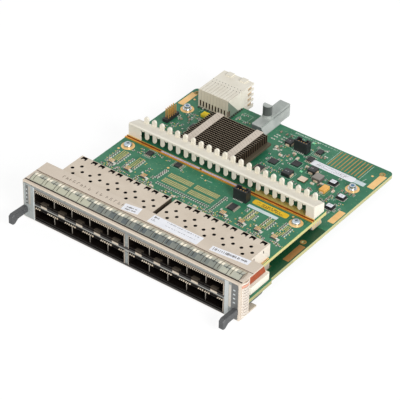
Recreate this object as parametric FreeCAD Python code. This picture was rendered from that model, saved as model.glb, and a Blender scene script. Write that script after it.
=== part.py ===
import FreeCAD, Part
import os

os.makedirs("parts", exist_ok=True)

# Interface module: x runs across the front plate, y runs to the rear, z is up.
# Sizes are in millimetres. The front wall's outer face lies at y 0 and its foot at z 0.

# front plate
faceWidth = 168.0
faceHeight = 28.0
plateSheet = 1.0
bendRadius = 0.8
overlaySheet = 0.2
topFlangeDepth = 24.0
bottomFlangeDepth = 18.5
sideFlangeDepth = 10.4

# ports and cages: the pitch follows from the plate's width and its bare margins
portCount = 5
leftMargin = 10.0
rightMargin = 11.15
groupGap = 3.15
cageSheet = 0.3
cageHeight = 9.8
cageDepth = 46.8
cageProud = 0.5
dividerSheet = 0.5
cutClear = 0.25
ventRadius = 1.2
ventHalfY = 4.5
ventBack = 14.0
springPitch = 1.35
springHeight = 1.35
springBack = 1.3
floorBack = 13.3

# boards
boardThick = 2.8
upperRise = 1.1
upperInset = 5.8
upperRear = 107.0
mainTop = 6.8
mainInset = 1.4
mainRear = 176.2
earGap = 1.6
earRear = 37.5
boardCorner = 3.0
cageNotchGap = 0.6
screwHole = 1.7

# finger gaskets
gasketSheet = 0.25
gasketFoot = 1.2
gasketFront = 3.0
gasketDepth = 10.2
gasketRise = 1.5
gasketPitch = 4.76
gasketInset = 3.0
fingerGap = 0.5
sideGasketFront = 2.4
sideGasketDepth = 7.4
sideGasketRise = 1.1
sideGasketPitch = 2.1

# pulls
pullWidth = 3.5
pullInset = 0.5
pullReach = 14.8
pullFoot = 4.8
pullTop = 9.3
pullScrewZ = 8.0

# comb guide
combBack = 13.6
combDepth = 11.2
combHeight = 10.1
combRearHeight = 6.9
combWall = 1.2
combPitch = 6.35
postWidth = 3.1
postTop = 11.8
windowWidth = 3.65
windowTop = 8.4
windowShift = 1.65
toothLift = 2.9

# heat sink and package
sinkX = (-45.9, -0.9)
sinkFrontGap = 1.6
sinkBack = 27.6
sinkBase = 1.8
sinkBaseRight = 2.8
sinkTop = 17.0
finPitch = 2.0
finSheet = 0.6
packageInsetX = 5.0
packageInsetY = 2.5
packageHeight = 1.3
lidInset = 2.5
lidHeight = 1.5
bandWidth = 5.4
bandSheet = 0.4
bandInset = 4.0

# backplane connector and guide
waferCount = 10
waferPitch = 2.5
waferGap = 0.15
connectorInset = 14.2
waferDepth = 14.8
housingDepth = 14.4
housingOverhang = 12.0
connectorTop = 20.6
housingFoot = 1.6
overhangGap = 0.5
guideX = (-20.7, -13.0)
guideBack = 18.2
guideOverhang = 15.3
guideFoot = 4.0
guideStep = 12.6
guideArm = 14.2
guideFlare = 3.2
guidePostTop = 21.6
guidePostWidth = 6.2
guideBore = 2.4
guideBoreDepth = 14.4
contactRows = 4
contactRowPitch = 4.2

# shrouded pin headers
shroudWidth = 10.0
shroudDepth = 5.2
shroudHeight = 8.2
shroudFloor = 1.4
shroudWall = 0.9


def vec(x, y, z):
    return FreeCAD.Vector(x, y, z)


def block(x, y, z):
    return Part.makeBox(x[1] - x[0], y[1] - y[0], z[1] - z[0], vec(x[0], y[0], z[0]))


def around(middle, size):
    return (middle - size / 2, middle + size / 2)


def polyFace(points):
    return Part.Face(Part.makePolygon(points + [points[0]]))


def alongX(outline, x):
    face = polyFace([vec(x[0], p[0], p[1]) for p in outline])
    return face.extrude(vec(x[1] - x[0], 0, 0))


def alongY(outline, y):
    face = polyFace([vec(p[0], y[0], p[1]) for p in outline])
    return face.extrude(vec(0, y[1] - y[0], 0))


def alongZ(outline, z):
    face = polyFace([vec(p[0], p[1], z[0]) for p in outline])
    return face.extrude(vec(0, 0, z[1] - z[0]))


def rod(x, y, z, radius):
    return Part.makeCylinder(radius, z[1] - z[0], vec(x, y, z[0]), vec(0, 0, 1))


def rodY(x, z, y, radius):
    return Part.makeCylinder(radius, y[1] - y[0], vec(x, y[0], z), vec(0, 1, 0))


def joined(shapes):
    return shapes[0].multiFuse(shapes[1:]).removeSplitter()


def without(shape, tools):
    return shape.cut(Part.makeCompound(tools))


# widths of the boards and their edges, from the plate inwards
faceHalf = faceWidth / 2
earHalf = faceHalf - plateSheet - earGap
mainHalf = earHalf - mainInset
upperHalf = mainHalf - upperInset
pullOuter = faceHalf - pullInset
portPitch = (faceWidth - leftMargin - rightMargin - groupGap - 4 * cageSheet) / (2 * portCount)
cageWidth = portPitch * portCount + 2 * cageSheet
groupMids = (-faceHalf + leftMargin + cageWidth / 2, faceHalf - rightMargin - cageWidth / 2)
portSteps = [i - (portCount - 1) / 2 for i in range(portCount)]

# levels that several pieces share
upperTop = faceHeight / 2 + upperRise
upperBottom = upperTop - boardThick
mainBottom = mainTop - boardThick
boardMiddle = upperTop - boardThick / 2
cageTop = upperTop + cageHeight

# groups of small parts behind the ports: cage group, port step and shift beside the port's middle
clusterSpots = ((0, -2, 3.1), (0, -1, 2.1), (0, 0, 0.8), (1, -1, 2.75), (1, 0, 2.8), (1, 1, 0.95), (1, 2, -0.7))
clusterX = [groupMids[group] + step * portPitch + shift for group, step, shift in clusterSpots]

# places measured from the rear edges of the boards
upperScrewX = upperHalf - 7.7
upperScrewY = upperRear - 23.1
mainScrews = ((mainHalf - 11.7, mainRear - 31.1), (-mainHalf + 10.7, mainRear - 24.8))
toolHoles = ((mainHalf - 5.0, mainRear - 5.9), (mainHalf - 4.9, upperRear - 27.0), (-mainHalf + 4.2, mainRear - 5.3))
combFront = upperRear - combBack
combRear = combFront + combDepth
combLeft = -upperHalf + 0.7
combRight = upperHalf - 1.0
postCount = int((combRight - combLeft - 10.0) / combPitch) + 1
sinkY = (upperRear + sinkFrontGap, mainRear - sinkBack)
connectorLeft = -mainHalf + connectorInset
housingRear = mainRear + housingOverhang
housingFront = housingRear - housingDepth
connectorFront = housingFront - waferDepth
guideFront = mainRear - guideBack
guideRear = mainRear + guideOverhang
originShift = vec(0, (pullReach - guideRear) / 2, gasketRise)


def save(name, solids):
    group = Part.makeCompound(solids)
    group.translate(originShift)
    group.exportStep("parts/" + name + ".step")


def belowBoard(shape):
    return shape.mirror(vec(0, 0, boardMiddle), vec(0, 0, 1))


def cutOut(middle, y, clear):
    tool = block(around(middle, cageWidth + 2 * clear), y, (upperTop - clear, cageTop + clear))
    corners = [e for e in tool.Edges if abs(e.BoundBox.YLength - (y[1] - y[0])) < 0.01]
    return tool.makeFillet(0.7, corners)


def cutOuts(y, clear):
    upper = [cutOut(middle, y, clear) for middle in groupMids]
    return upper + [belowBoard(tool) for tool in upper]


def pullScrewHoles(y, radius):
    side = pullOuter - pullWidth / 2
    return [rodY(x, pullScrewZ, y, radius) for x in (-side, side)]


def makeFaceplate():
    outer = block((-faceHalf, faceHalf), (0, topFlangeDepth), (0, faceHeight))
    frontEdges = [e for e in outer.Edges if e.BoundBox.YMax < 0.01]
    outer = outer.makeFillet(bendRadius, frontEdges)
    inside = block((-faceHalf + plateSheet, faceHalf - plateSheet),
                   (plateSheet, topFlangeDepth + 1), (plateSheet, faceHeight - plateSheet))
    belowTop = (-1, faceHeight - plateSheet)
    behindSides = [block(x, (sideFlangeDepth, topFlangeDepth + 1), (plateSheet, belowTop[1]))
                   for x in ((-faceHalf - 1, -faceHalf + plateSheet), (faceHalf - plateSheet, faceHalf + 1))]
    behindFoot = block((-faceHalf - 1, faceHalf + 1), (bottomFlangeDepth, topFlangeDepth + 1), belowTop)
    tools = [inside, behindFoot] + behindSides + cutOuts((-1, plateSheet + 1), cutClear)
    tools += pullScrewHoles((-1, plateSheet + 1), 1.0)
    return without(outer, tools)


def makeOverlay():
    edge = bendRadius + 0.1
    film = block((-faceHalf + edge, faceHalf - edge), (-overlaySheet, 0), (edge, faceHeight - edge))
    corners = [e for e in film.Edges if abs(e.Length - overlaySheet) < 0.01]
    film = film.makeFillet(1.0, corners)
    tools = cutOuts((-1, 1), cutClear + 0.1) + pullScrewHoles((-1, 1), 1.0)
    return without(film, tools)


def fingerStrip(length, depth, rise, pitch, shortStart):
    crest = (gasketFoot + depth) / 2
    skirt = 2 * gasketSheet
    outerArc = Part.Arc(vec(0, gasketFoot, gasketSheet), vec(0, crest, rise), vec(0, depth, 0)).toShape()
    innerArc = Part.Arc(vec(0, depth - skirt, 0), vec(0, crest, rise - gasketSheet),
                        vec(0, gasketFoot + skirt, 0)).toShape()
    edges = [
        Part.makeLine(vec(0, 0, 0), vec(0, 0, gasketSheet)),
        Part.makeLine(vec(0, 0, gasketSheet), vec(0, gasketFoot, gasketSheet)),
        outerArc,
        Part.makeLine(vec(0, depth, 0), vec(0, depth - skirt, 0)),
        innerArc,
        Part.makeLine(vec(0, gasketFoot + skirt, 0), vec(0, 0, 0)),
    ]
    strip = Part.Face(Part.Wire(edges)).extrude(vec(length, 0, 0))
    count = int(length / pitch)
    first = (length - (count - 1) * pitch) / 2
    slots = []
    for i in range(count):
        start = gasketFoot * 0.7 if i % 2 == 0 else shortStart
        slots.append(block(around(first + i * pitch, fingerGap), (start, depth + 1), (-1, rise + 1)))
    return without(strip, slots)


def longGasket():
    length = faceWidth - 2 * gasketInset
    strip = fingerStrip(length, gasketDepth, gasketRise, gasketPitch, gasketDepth * 0.36)
    strip.translate(vec(-length / 2, gasketFront, faceHeight))
    return strip


def sideGasket(side):
    length = faceHeight - 3 * bendRadius
    strip = fingerStrip(length, sideGasketDepth, sideGasketRise, sideGasketPitch, gasketFoot * 0.7)
    strip.rotate(vec(0, 0, 0), vec(0, 1, 0), 90 * side)
    strip.translate(vec(side * faceHalf, sideGasketFront, faceHeight / 2 + side * length / 2))
    return strip


def makePull(side):
    root = -overlaySheet
    inner = pullOuter - pullWidth
    outline = [(root, pullTop), (-pullReach + 1.9, pullTop + 0.6), (-pullReach, pullTop - 0.7),
               (-pullReach, pullFoot - 1.5), (-pullReach + 0.9, pullFoot - 2.2),
               (-pullReach + 2.4, pullFoot - 2.2), (-pullReach + 5.4, pullFoot - 0.1), (root, pullFoot)]
    bar = alongX(outline, (inner, pullOuter))
    longEdges = [e for e in bar.Edges if e.BoundBox.XLength < 0.01 and e.BoundBox.YMin < root - 1]
    bar = bar.makeChamfer(0.35, longEdges)
    bar = without(bar, [rodY(inner + pullWidth / 2, pullScrewZ, (-6, 1), 1.0)])
    if side < 0:
        bar = bar.mirror(vec(0, 0, 0), vec(1, 0, 0))
    return bar


def makePullScrews():
    screws = []
    for x in (-pullOuter + pullWidth / 2, pullOuter - pullWidth / 2):
        shank = rodY(x, pullScrewZ, (-5, plateSheet), 0.7)
        head = rodY(x, pullScrewZ, (plateSheet, plateSheet + 1.0), 1.15)
        screws.append(joined([shank, head]))
    return screws


def ventHoles(middle):
    holes = []
    for step in portSteps:
        x = middle + step * portPitch
        y = cageDepth - ventBack
        half = portPitch * 0.28
        spots = ((x - half, y), (x + half, y), (x, y - ventHalfY), (x, y + ventHalfY))
        holes += [rod(sx, sy, (cageTop - 1, cageTop + 1), ventRadius) for sx, sy in spots]
    return holes


def chevron(x):
    rear = cageDepth - 0.35
    outline = [(x - 2.0, rear), (x - 2.0, rear - 3.0), (x - 1.3, rear - 3.6), (x - 0.7, rear - 2.2),
               (x + 0.7, rear - 2.2), (x + 1.3, rear - 3.6), (x + 2.0, rear - 3.0), (x + 2.0, rear)]
    return alongZ(outline, (cageTop - 1, cageTop + 1))


def cageCover(middle):
    outerX = around(middle, cageWidth)
    innerX = around(middle, cageWidth - 2 * cageSheet)
    shell = block(outerX, (-cageProud, cageDepth), (upperTop, cageTop))
    inside = block(innerX, (-cageProud - 1, cageDepth - cageSheet), (upperTop - 1, cageTop - cageSheet))
    tools = [inside] + ventHoles(middle)
    for step in portSteps:
        x = middle + step * portPitch
        tools += [chevron(x - portPitch * 0.29), chevron(x + portPitch * 0.29)]
    for y in (cageDepth - 16.6, cageDepth - 6.8):
        tools.append(block((outerX[0] - 1, outerX[1] + 1), around(y, 0.9), (cageTop - 3.6, cageTop - 1.4)))
    return without(shell, tools)


def cageFloor(middle):
    innerX = around(middle, cageWidth - 2 * cageSheet)
    level = upperTop + cageSheet
    pieces = [block(innerX, (-cageProud, cageDepth - floorBack), (upperTop, level))]
    for step in portSteps:
        tongue = [(9.0, level), (-0.4, level + 1.35), (-0.4, level + 1.05), (6.9, level)]
        pieces.append(alongX(tongue, around(middle + step * portPitch, portPitch * 0.35)))
    return joined(pieces)


def cageDividers(middle):
    z = (upperTop + cageSheet, cageTop - cageSheet)
    gaps = [middle + (step + 0.5) * portPitch for step in portSteps[:-1]]
    return [block(around(x, dividerSheet), (springBack + 0.3, cageDepth - cageSheet), z) for x in gaps]


def fingerRow(x, lip, away, count):
    # A lip across the mouth with fingers that rise from it towards the sheet behind.
    half = springPitch * count / 2
    far = lip + away * springHeight
    pieces = [block((x - half, x + half), (-cageProud, 0), sorted((lip, lip + away * 0.3)))]
    outline = [(-cageProud, lip), (0, lip), (springBack, far - away * 0.35), (springBack, far),
               (springBack - 0.4, far), (-cageProud, lip + away * 0.3)]
    for i in range(count):
        spot = x + (i - (count - 1) / 2) * springPitch
        pieces.append(alongX(outline, around(spot, springPitch * 0.55)))
    return joined(pieces)


def cageSprings(middle):
    ceiling = cageTop - cageSheet
    floor = upperTop + cageSheet
    count = int((cageWidth - 2 * cageSheet - 0.4) / springPitch)
    rows = [fingerRow(middle, ceiling - springHeight, 1, count)]
    offset = portPitch * 0.335
    for step in portSteps:
        x = middle + step * portPitch
        rows += [fingerRow(spot, floor + springHeight, -1, 3) for spot in (x - offset, x + offset)]
    return rows


def portConnectors(middle):
    front = cageDepth - floorBack + 1.5
    rear = cageDepth - cageSheet - 0.3
    foot = upperTop
    outline = [(front, foot), (front, foot + 3.4), (front + 3.0, foot + 3.4), (front + 3.0, foot + 5.0),
               (front, foot + 5.0), (front, foot + 8.2), (rear, foot + 8.2), (rear, foot)]
    return [alongX(outline, around(middle + step * portPitch, portPitch - 2.65)) for step in portSteps]


def makeUpperBoard():
    board = block((-upperHalf, upperHalf), (plateSheet, upperRear), (upperBottom, upperTop))
    corners = [e for e in board.Edges if e.BoundBox.ZLength > 1 and e.BoundBox.YMin > upperRear - 0.01]
    board = board.makeChamfer(1.0, corners)
    holes = [rod(x, upperScrewY, (upperBottom - 1, upperTop + 1), screwHole)
             for x in (-upperScrewX, upperScrewX)]
    return without(board, holes)


def makeMainBoard():
    left = groupMids[0] - cageWidth / 2 - cageNotchGap
    right = groupMids[1] + cageWidth / 2 + cageNotchGap
    notchRear = cageDepth + 1.7
    outline = [(left, plateSheet), (left, notchRear), (right, notchRear), (right, plateSheet),
               (earHalf, plateSheet), (earHalf, earRear), (mainHalf, earRear + 1.2), (mainHalf, mainRear),
               (-mainHalf, mainRear), (-mainHalf, earRear + 1.2), (-earHalf, earRear), (-earHalf, plateSheet)]
    board = alongZ(outline, (mainBottom, mainTop))
    corners = [e for e in board.Edges if e.BoundBox.ZLength > 1 and e.BoundBox.YMin > mainRear - 0.01]
    board = board.makeFillet(boardCorner, corners)
    z = (mainBottom - 1, mainTop + 1)
    holes = [rod(x, y, z, screwHole) for x, y in mainScrews]
    holes += [rod(x, y, z, 1.1) for x, y in toolHoles]
    return without(board, holes)


def makeStandoffs():
    spots = []
    for x in (-upperScrewX, upperScrewX):
        post = rod(x, upperScrewY, (mainTop, upperBottom), 3.0)
        spots.append(without(post, [rod(x, upperScrewY, (mainTop + 1, upperBottom + 1), screwHole)]))
    return spots


def panScrew(x, y, level, reach):
    head = rod(x, y, (level, level + 2.3), 2.9)
    rim = [e for e in head.Edges if e.BoundBox.ZMin > level + 2.2]
    head = head.makeFillet(1.2, rim[:1])
    recess = block(around(x, 2.6), around(y, 0.7), (level + 1.3, level + 3))
    cross = block(around(x, 0.7), around(y, 2.6), (level + 1.3, level + 3))
    shank = rod(x, y, (level - reach, level), 1.4)
    return without(joined([head, shank]), [recess, cross])


def collarScrew(x, y):
    flange = rod(x, y, (mainTop, mainTop + 0.9), 3.1)
    collar = rod(x, y, (mainTop + 0.9, mainTop + 3.0), 2.2)
    shank = rod(x, y, (mainBottom, mainTop), 1.4)
    socket = rod(x, y, (mainTop + 1.6, mainTop + 4), 1.2)
    return without(joined([flange, collar, shank]), [socket])


def postOutline():
    # Rear wall of the comb: tall round posts with a low bump between each two.
    foot = upperTop + 2.0
    rail = upperTop + combRearHeight - 0.3
    shoulder = upperTop + postTop - postWidth / 2
    half = postWidth / 2
    bump = (combPitch - postWidth) / 2
    first = -(postCount - 1) / 2 * combPitch
    edges = []
    here = vec(first - half, 0, foot)
    start = here

    def lineTo(x, z):
        nonlocal here
        there = vec(x, 0, z)
        edges.append(Part.makeLine(here, there))
        here = there

    def arcTo(x, z, lift):
        nonlocal here
        there = vec(x, 0, z)
        top = vec((here.x + x) / 2, 0, z + lift)
        edges.append(Part.Arc(here, top, there).toShape())
        here = there

    for i in range(postCount):
        x = first + i * combPitch
        lineTo(x - half, shoulder)
        arcTo(x + half, shoulder, half)
        lineTo(x + half, rail)
        if i < postCount - 1:
            lineTo(x + half + 0.5 * bump, rail)
            arcTo(x + half + 1.5 * bump, rail, 0.7)
            lineTo(x + combPitch - half, rail)
    lineTo(here.x, foot)
    edges.append(Part.makeLine(here, start))
    return Part.Face(Part.Wire(edges))


def makeComb():
    foot = upperTop
    ridge = foot + combHeight
    rail = foot + combRearHeight
    skin = combWall
    outer = [(combFront, foot), (combFront, ridge - 0.7), (combFront + 0.8, ridge), (combRear, rail),
             (combRear, foot)]
    inner = [(combFront + skin, foot - 1), (combFront + skin, ridge - 1.8), (combRear - skin, rail - skin),
             (combRear - skin, foot - 1)]
    shell = alongX(outer, (combLeft, combRight))
    wallY = (combFront - 1, combFront + skin + 0.2)
    tools = [alongX(inner, (combLeft + skin, combRight - skin))]
    windowCount = postCount - 1
    reach = (windowCount - 1) / 2 * combPitch
    half = windowWidth / 2
    tools.append(block((windowShift - reach - half, windowShift + reach + half), wallY, (foot - 1, foot + toothLift)))
    for i in range(windowCount):
        x = i * combPitch - reach + windowShift
        outline = [(x - half - 0.7, foot + toothLift - 0.1), (x - half, foot + toothLift + 1.0),
                   (x - half, foot + windowTop), (x - 0.8, foot + windowTop), (x - 0.5, foot + windowTop - 0.5),
                   (x + 0.5, foot + windowTop - 0.5), (x + 0.8, foot + windowTop), (x + half, foot + windowTop),
                   (x + half, foot + toothLift + 1.0), (x + half + 0.7, foot + toothLift - 0.1)]
        tools.append(alongY(outline, wallY))
    shell = without(shell, tools)
    posts = postOutline()
    posts.translate(vec(0, combRear - 1.5, 0))
    return joined([shell, posts.extrude(vec(0, 1.5, 0))])


def makeGroundStrip():
    y = combFront - 3.2
    z = upperTop
    outline = [(y, z), (y, z + 0.8), (y + 0.9, z + 0.8), (y + 0.9, z + 0.25), (y + 2.1, z + 0.25),
               (y + 2.1, z + 0.8), (y + 3.0, z + 0.8), (y + 3.0, z)]
    return alongX(outline, (-upperHalf, upperHalf))


def makeStripGasket():
    y = combFront - 3.2
    z = upperTop
    base = block((-45.3, 15.3), (y + 0.9, y + 2.1), (z + 0.25, z + 0.9))
    ribs = [block(around(-44.0 + i * 2.0, 1.2), (y + 0.9, y + 2.1), (z + 0.9, z + 1.15)) for i in range(30)]
    return joined([base] + ribs)


def makePackage():
    x = (sinkX[0] + packageInsetX, sinkX[1] - packageInsetX)
    y = (sinkY[0] + packageInsetY, sinkY[1] - packageInsetY)
    level = mainTop + packageHeight
    base = block(x, y, (mainTop, level))
    lid = block((x[0] + lidInset, x[1] - lidInset), (y[0] + lidInset, y[1] - lidInset), (level, level + lidHeight))
    return joined([base, lid])


def makeSink():
    foot = mainTop + packageHeight + lidHeight
    base = foot + sinkBase
    depth = sinkY[1] - sinkY[0]
    count = int((depth - finSheet) / finPitch) + 1
    first = sinkY[0] + (depth - finSheet - (count - 1) * finPitch) / 2
    outline = [(sinkY[0], foot), (sinkY[0], base)]
    for i in range(count):
        y = first + i * finPitch
        outline += [(y, base), (y, sinkTop), (y + finSheet, sinkTop), (y + finSheet, base)]
    outline += [(sinkY[1], base), (sinkY[1], foot)]
    cleaned = [outline[0]]
    for point in outline[1:]:
        if abs(point[0] - cleaned[-1][0]) + abs(point[1] - cleaned[-1][1]) > 1e-6:
            cleaned.append(point)
    plate = block((sinkX[0], sinkX[1] + sinkBaseRight), sinkY, (foot, base))
    return joined([alongX(cleaned, sinkX), plate])


def makeBands():
    left = sinkX[0] + bandInset
    right = sinkX[1] - bandInset + 0.4
    z = (sinkTop, sinkTop + bandSheet)
    return [block((left, left + bandWidth), sinkY, z), block((right - bandWidth, right), sinkY, z)]


def connectorRight():
    return connectorLeft + waferCount * waferPitch


def makeWafers():
    wafers = []
    foot = mainTop
    for i in range(waferCount):
        x = connectorLeft + i * waferPitch
        plate = block((x, x + waferPitch - waferGap), (connectorFront, housingFront), (foot, connectorTop))
        notch = block((x + 1.0, x + waferPitch), (connectorFront - 1, connectorFront + 2.5),
                      (foot + 0.8, foot + 5.6))
        wafers.append(without(plate, [notch]))
    return wafers


def makeHousing():
    under = mainRear + overhangGap
    outline = [(housingFront, mainTop), (housingFront, connectorTop), (housingRear, connectorTop),
               (housingRear, housingFoot), (under, housingFoot), (under, mainTop)]
    x = (connectorLeft, connectorRight())
    body = alongX(outline, x)
    tabs = [block(around(x[0] + share * (x[1] - x[0]), 4.6), (housingRear - 4.5, housingRear),
                  (connectorTop, connectorTop + 0.8)) for share in (0.27, 0.73)]
    body = joined([body] + tabs)
    slots = []
    for i in range(waferCount):
        middle = x[0] + (i + 0.5) * waferPitch
        slots.append(block(around(middle, 1.3), (housingRear - 9.0, housingRear + 1),
                           (housingFoot + 1.4, connectorTop - 1.6)))
    for i in range(contactRows):
        z = housingFoot + 2.6 + i * contactRowPitch
        slots.append(block((x[1] - 1.1, x[1] + 1), (housingRear - 7.0, housingRear + 1), (z, z + 2.4)))
    return without(body, slots)


def makeContacts():
    blades = []
    rear = housingRear - 1.2
    for i in range(waferCount):
        middle = connectorLeft + (i + 0.5) * waferPitch
        for row in range(contactRows):
            z = housingFoot + 2.8 + row * contactRowPitch
            outline = [(housingRear - 9.0, z), (rear, z + 0.5), (rear, z + 1.3), (housingRear - 9.0, z + 1.8)]
            blades.append(alongX(outline, around(middle, 0.4)))
    return blades


def makeGuide():
    under = mainRear + overhangGap
    outline = [(guideFront, mainTop), (guideFront, guideStep - 0.7), (guideFront + 0.7, guideStep),
               (guideFront + 11, guideStep), (guideFront + 12.2, guideArm), (guideRear - 0.8, guideArm),
               (guideRear, guideArm - 0.8), (guideRear, guideFoot + 0.8), (guideRear - 0.8, guideFoot),
               (under, guideFoot), (under, mainTop)]
    body = alongX(outline, guideX)
    side = guideX[1]
    flare = [(side - 1, mainTop), (side + guideFlare, mainTop), (side + guideFlare, mainTop + 0.6),
             (side, guideStep - 1.2), (side - 1, guideStep - 1.2)]
    skirt = alongY(flare, (guideFront, mainRear))
    postLeft = vec(guideX[0], guideFront + 14.5, guideStep - 0.5)
    postRight = vec(guideX[0] + guidePostWidth, guideFront + 14.5, guideStep - 0.5)
    bow = vec(guideX[0] + guidePostWidth * 0.55, guideFront + 10.2, guideStep - 0.5)
    edges = [Part.Arc(postLeft, bow, postRight).toShape(), Part.makeLine(postRight, postLeft)]
    post = Part.Face(Part.Wire(edges)).extrude(vec(0, 0, guidePostTop - guideStep + 0.5))
    body = joined([body, skirt, post])
    x = (guideX[0] + guideX[1]) / 2
    z = (guideArm + guideFoot) / 2
    bore = rodY(x, z, (guideRear - guideBoreDepth, guideRear + 1), guideBore)
    mouth = Part.makeCone(guideBore, guideBore + 0.8, 0.8, vec(x, guideRear - 0.8, z), vec(0, 1, 0))
    groove = block((side - 0.25, side + 1), (mainRear - 4.0, guideRear + 1), around(guideArm - 2.2, 0.5))
    return without(body, [bore, mouth, groove])


def makeFlexConnector():
    x = (mainHalf - 6.4, mainHalf - 0.2)
    body = block(x, (earRear - 20.0, earRear), (mainTop, upperBottom - 0.1))
    rim = [e for e in body.Edges if e.BoundBox.ZLength > 1 and e.BoundBox.XMin > x[1] - 0.01]
    return body.makeChamfer(0.7, rim)


def makeFlexStrip():
    level = upperBottom - 0.1
    x = mainHalf - 2.5
    outline = [(x - 0.6, level), (x, level), (x, level + 1.0), (x - 1.6, level + 4.0), (x - 2.8, level + 4.4),
               (x - 2.8, level + 3.8), (x - 2.0, level + 3.5), (x - 0.6, level + 0.8)]
    return alongY(outline, (earRear - 18.5, earRear - 1.5))


def makeEdgeSupports():
    supports = []
    front = sideFlangeDepth + 2.3
    for side in (-1, 1):
        x = sorted((side * (mainHalf - 4.4), side * (mainHalf + 0.4)))
        outline = [(front, mainBottom), (front, 1.5), (front + 15.8, 1.5), (front + 17.4, 2.6),
                   (front + 17.4, mainBottom)]
        supports.append(alongX(outline, x))
    return supports


def shroud(x, y, foot):
    height = shroudHeight
    wall = shroudWall
    cup = block(x, y, (foot, foot + height))
    hollow = block((x[0] + wall, x[1] - wall), (y[0] + wall, y[1] - wall), (foot + shroudFloor, foot + height + 1))
    top = foot + height
    key = block(around((x[0] + x[1]) / 2, 3.6), (y[1] - wall - 0.2, y[1] + 1), (top - 1.6, top + 1))
    ends = [block((side - 0.6, side + 0.6), around((y[0] + y[1]) / 2, 1.6), (top - 1.2, top + 1)) for side in x]
    return without(cup, [hollow, key] + ends)


mainShroudX = (14.0, 14.0 + shroudWidth)
mainShroudY = (mainRear - 19.0, mainRear - 19.0 + shroudDepth)
upperShroudX = (clusterX[3] - 5.0, clusterX[3] - 5.0 + shroudWidth)
upperShroudY = (upperRear - 26.4, upperRear - 26.4 + shroudDepth)


def pinGrid(x, y, columns, rows, z):
    pins = []
    for i in range(columns):
        for j in range(rows):
            px = (x[0] + x[1]) / 2 + (i - (columns - 1) / 2) * 2.0
            py = (y[0] + y[1]) / 2 + (j - (rows - 1) / 2) * 2.0
            pins.append(block(around(px, 0.6), around(py, 0.6), z))
    return pins


def makeShroudPins():
    lower = mainTop + shroudFloor
    upper = upperTop + shroudFloor
    return (pinGrid(mainShroudX, mainShroudY, 4, 1, (lower, lower + 5.6))
            + pinGrid(upperShroudX, upperShroudY, 4, 1, (upper, upper + 5.6)))


headerX = (-mainHalf + 6.6, -mainHalf + 10.6)
headerY = (mainRear - 46.8, mainRear - 33.6)


def chip(x, y, width, depth, foot, height):
    body = block(around(x, width), around(y, depth), (foot, foot + height))
    upperEdges = [e for e in body.Edges if e.BoundBox.ZMin > foot + height - 0.01]
    return body.makeChamfer(min(0.2, height * 0.2), upperEdges)


def makeSmallChips():
    # Each spot holds middle x, distance from the board's rear edge, width, depth and height.
    mainSpots = ((29.8, 11.3, 3.9, 4.9, 1.5), (29.5, 21.6, 3.9, 4.7, 1.4), (11.3, 38.1, 5.4, 5.4, 0.9),
                 (24.7, 31.0, 5.4, 5.4, 0.9), (-53.1, 39.4, 3.4, 4.4, 1.4), (8.5, 50.2, 5.0, 6.0, 1.2))
    upperSpots = ((clusterX[1] + 0.5, 21.4, 4.0, 4.4, 1.3), (clusterX[2] + 9.8, 20.5, 4.0, 4.2, 1.3),
                  (clusterX[3] + 0.7, 34.4, 4.6, 6.4, 1.0))
    chips = [chip(x, mainRear - d, w, h, mainTop, t) for x, d, w, h, t in mainSpots]
    return chips + [chip(x, upperRear - d, w, h, upperTop, t) for x, d, w, h, t in upperSpots]


def makeSocketedChips():
    spots = ((55.7, 34.2), (68.4, 43.8), (68.2, 56.8))
    chips = []
    for x, back in spots:
        y = mainRear - back
        base = block(around(x, 5.8), around(y, 5.0), (mainTop, mainTop + 1.3))
        cap = block(around(x, 4.8), around(y, 4.0), (mainTop + 1.3, mainTop + 2.1))
        chips.append(joined([base, cap]))
    return chips


def makeInductors():
    spots = ((26.6, 44.1, 6.0, 6.2), (38.1, 31.5, 5.4, 5.8), (8.3, 15.1, 4.8, 5.4))
    return [chip(x, mainRear - back, w, d, mainTop, 2.8) for x, back, w, d in spots]


def resistorNetworks():
    # Two networks one behind the other and a narrow one beside them in each group.
    parts = []
    for x in clusterX:
        for shift, back, width in ((-0.9, 43.4, 3.6), (-0.9, 41.6, 3.6), (2.0, 42.6, 1.2)):
            parts.append(block(around(x + shift, width), around(upperRear - back, 1.4), (upperTop, upperTop + 0.7)))
    return parts


def smallUpperParts():
    # Each column holds its group, its shift and its ends as distances from the board's rear edge.
    columns = ((0, -3.9, 44.3, 30.8), (0, 3.6, 42.7, 29.2), (1, -3.9, 43.5, 31.0), (1, 2.6, 40.8, 28.7),
               (2, 6.7, 38.0, 28.6), (4, -4.7, 32.0, 28.4), (4, -0.2, 38.0, 28.4), (4, 3.8, 36.7, 31.0),
               (5, -1.0, 37.2, 28.4), (5, 3.7, 39.6, 29.8), (6, -2.2, 35.7, 26.6), (6, 3.3, 39.0, 29.1))
    parts = []
    for group, shift, far, near in columns:
        count = int((far - near) / 2.1) + 1
        for i in range(count):
            y = upperRear - far + i * 2.1
            parts.append(block(around(clusterX[group] + shift, 1.7), around(y, 0.9), (upperTop, upperTop + 0.6)))
    return parts


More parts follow.
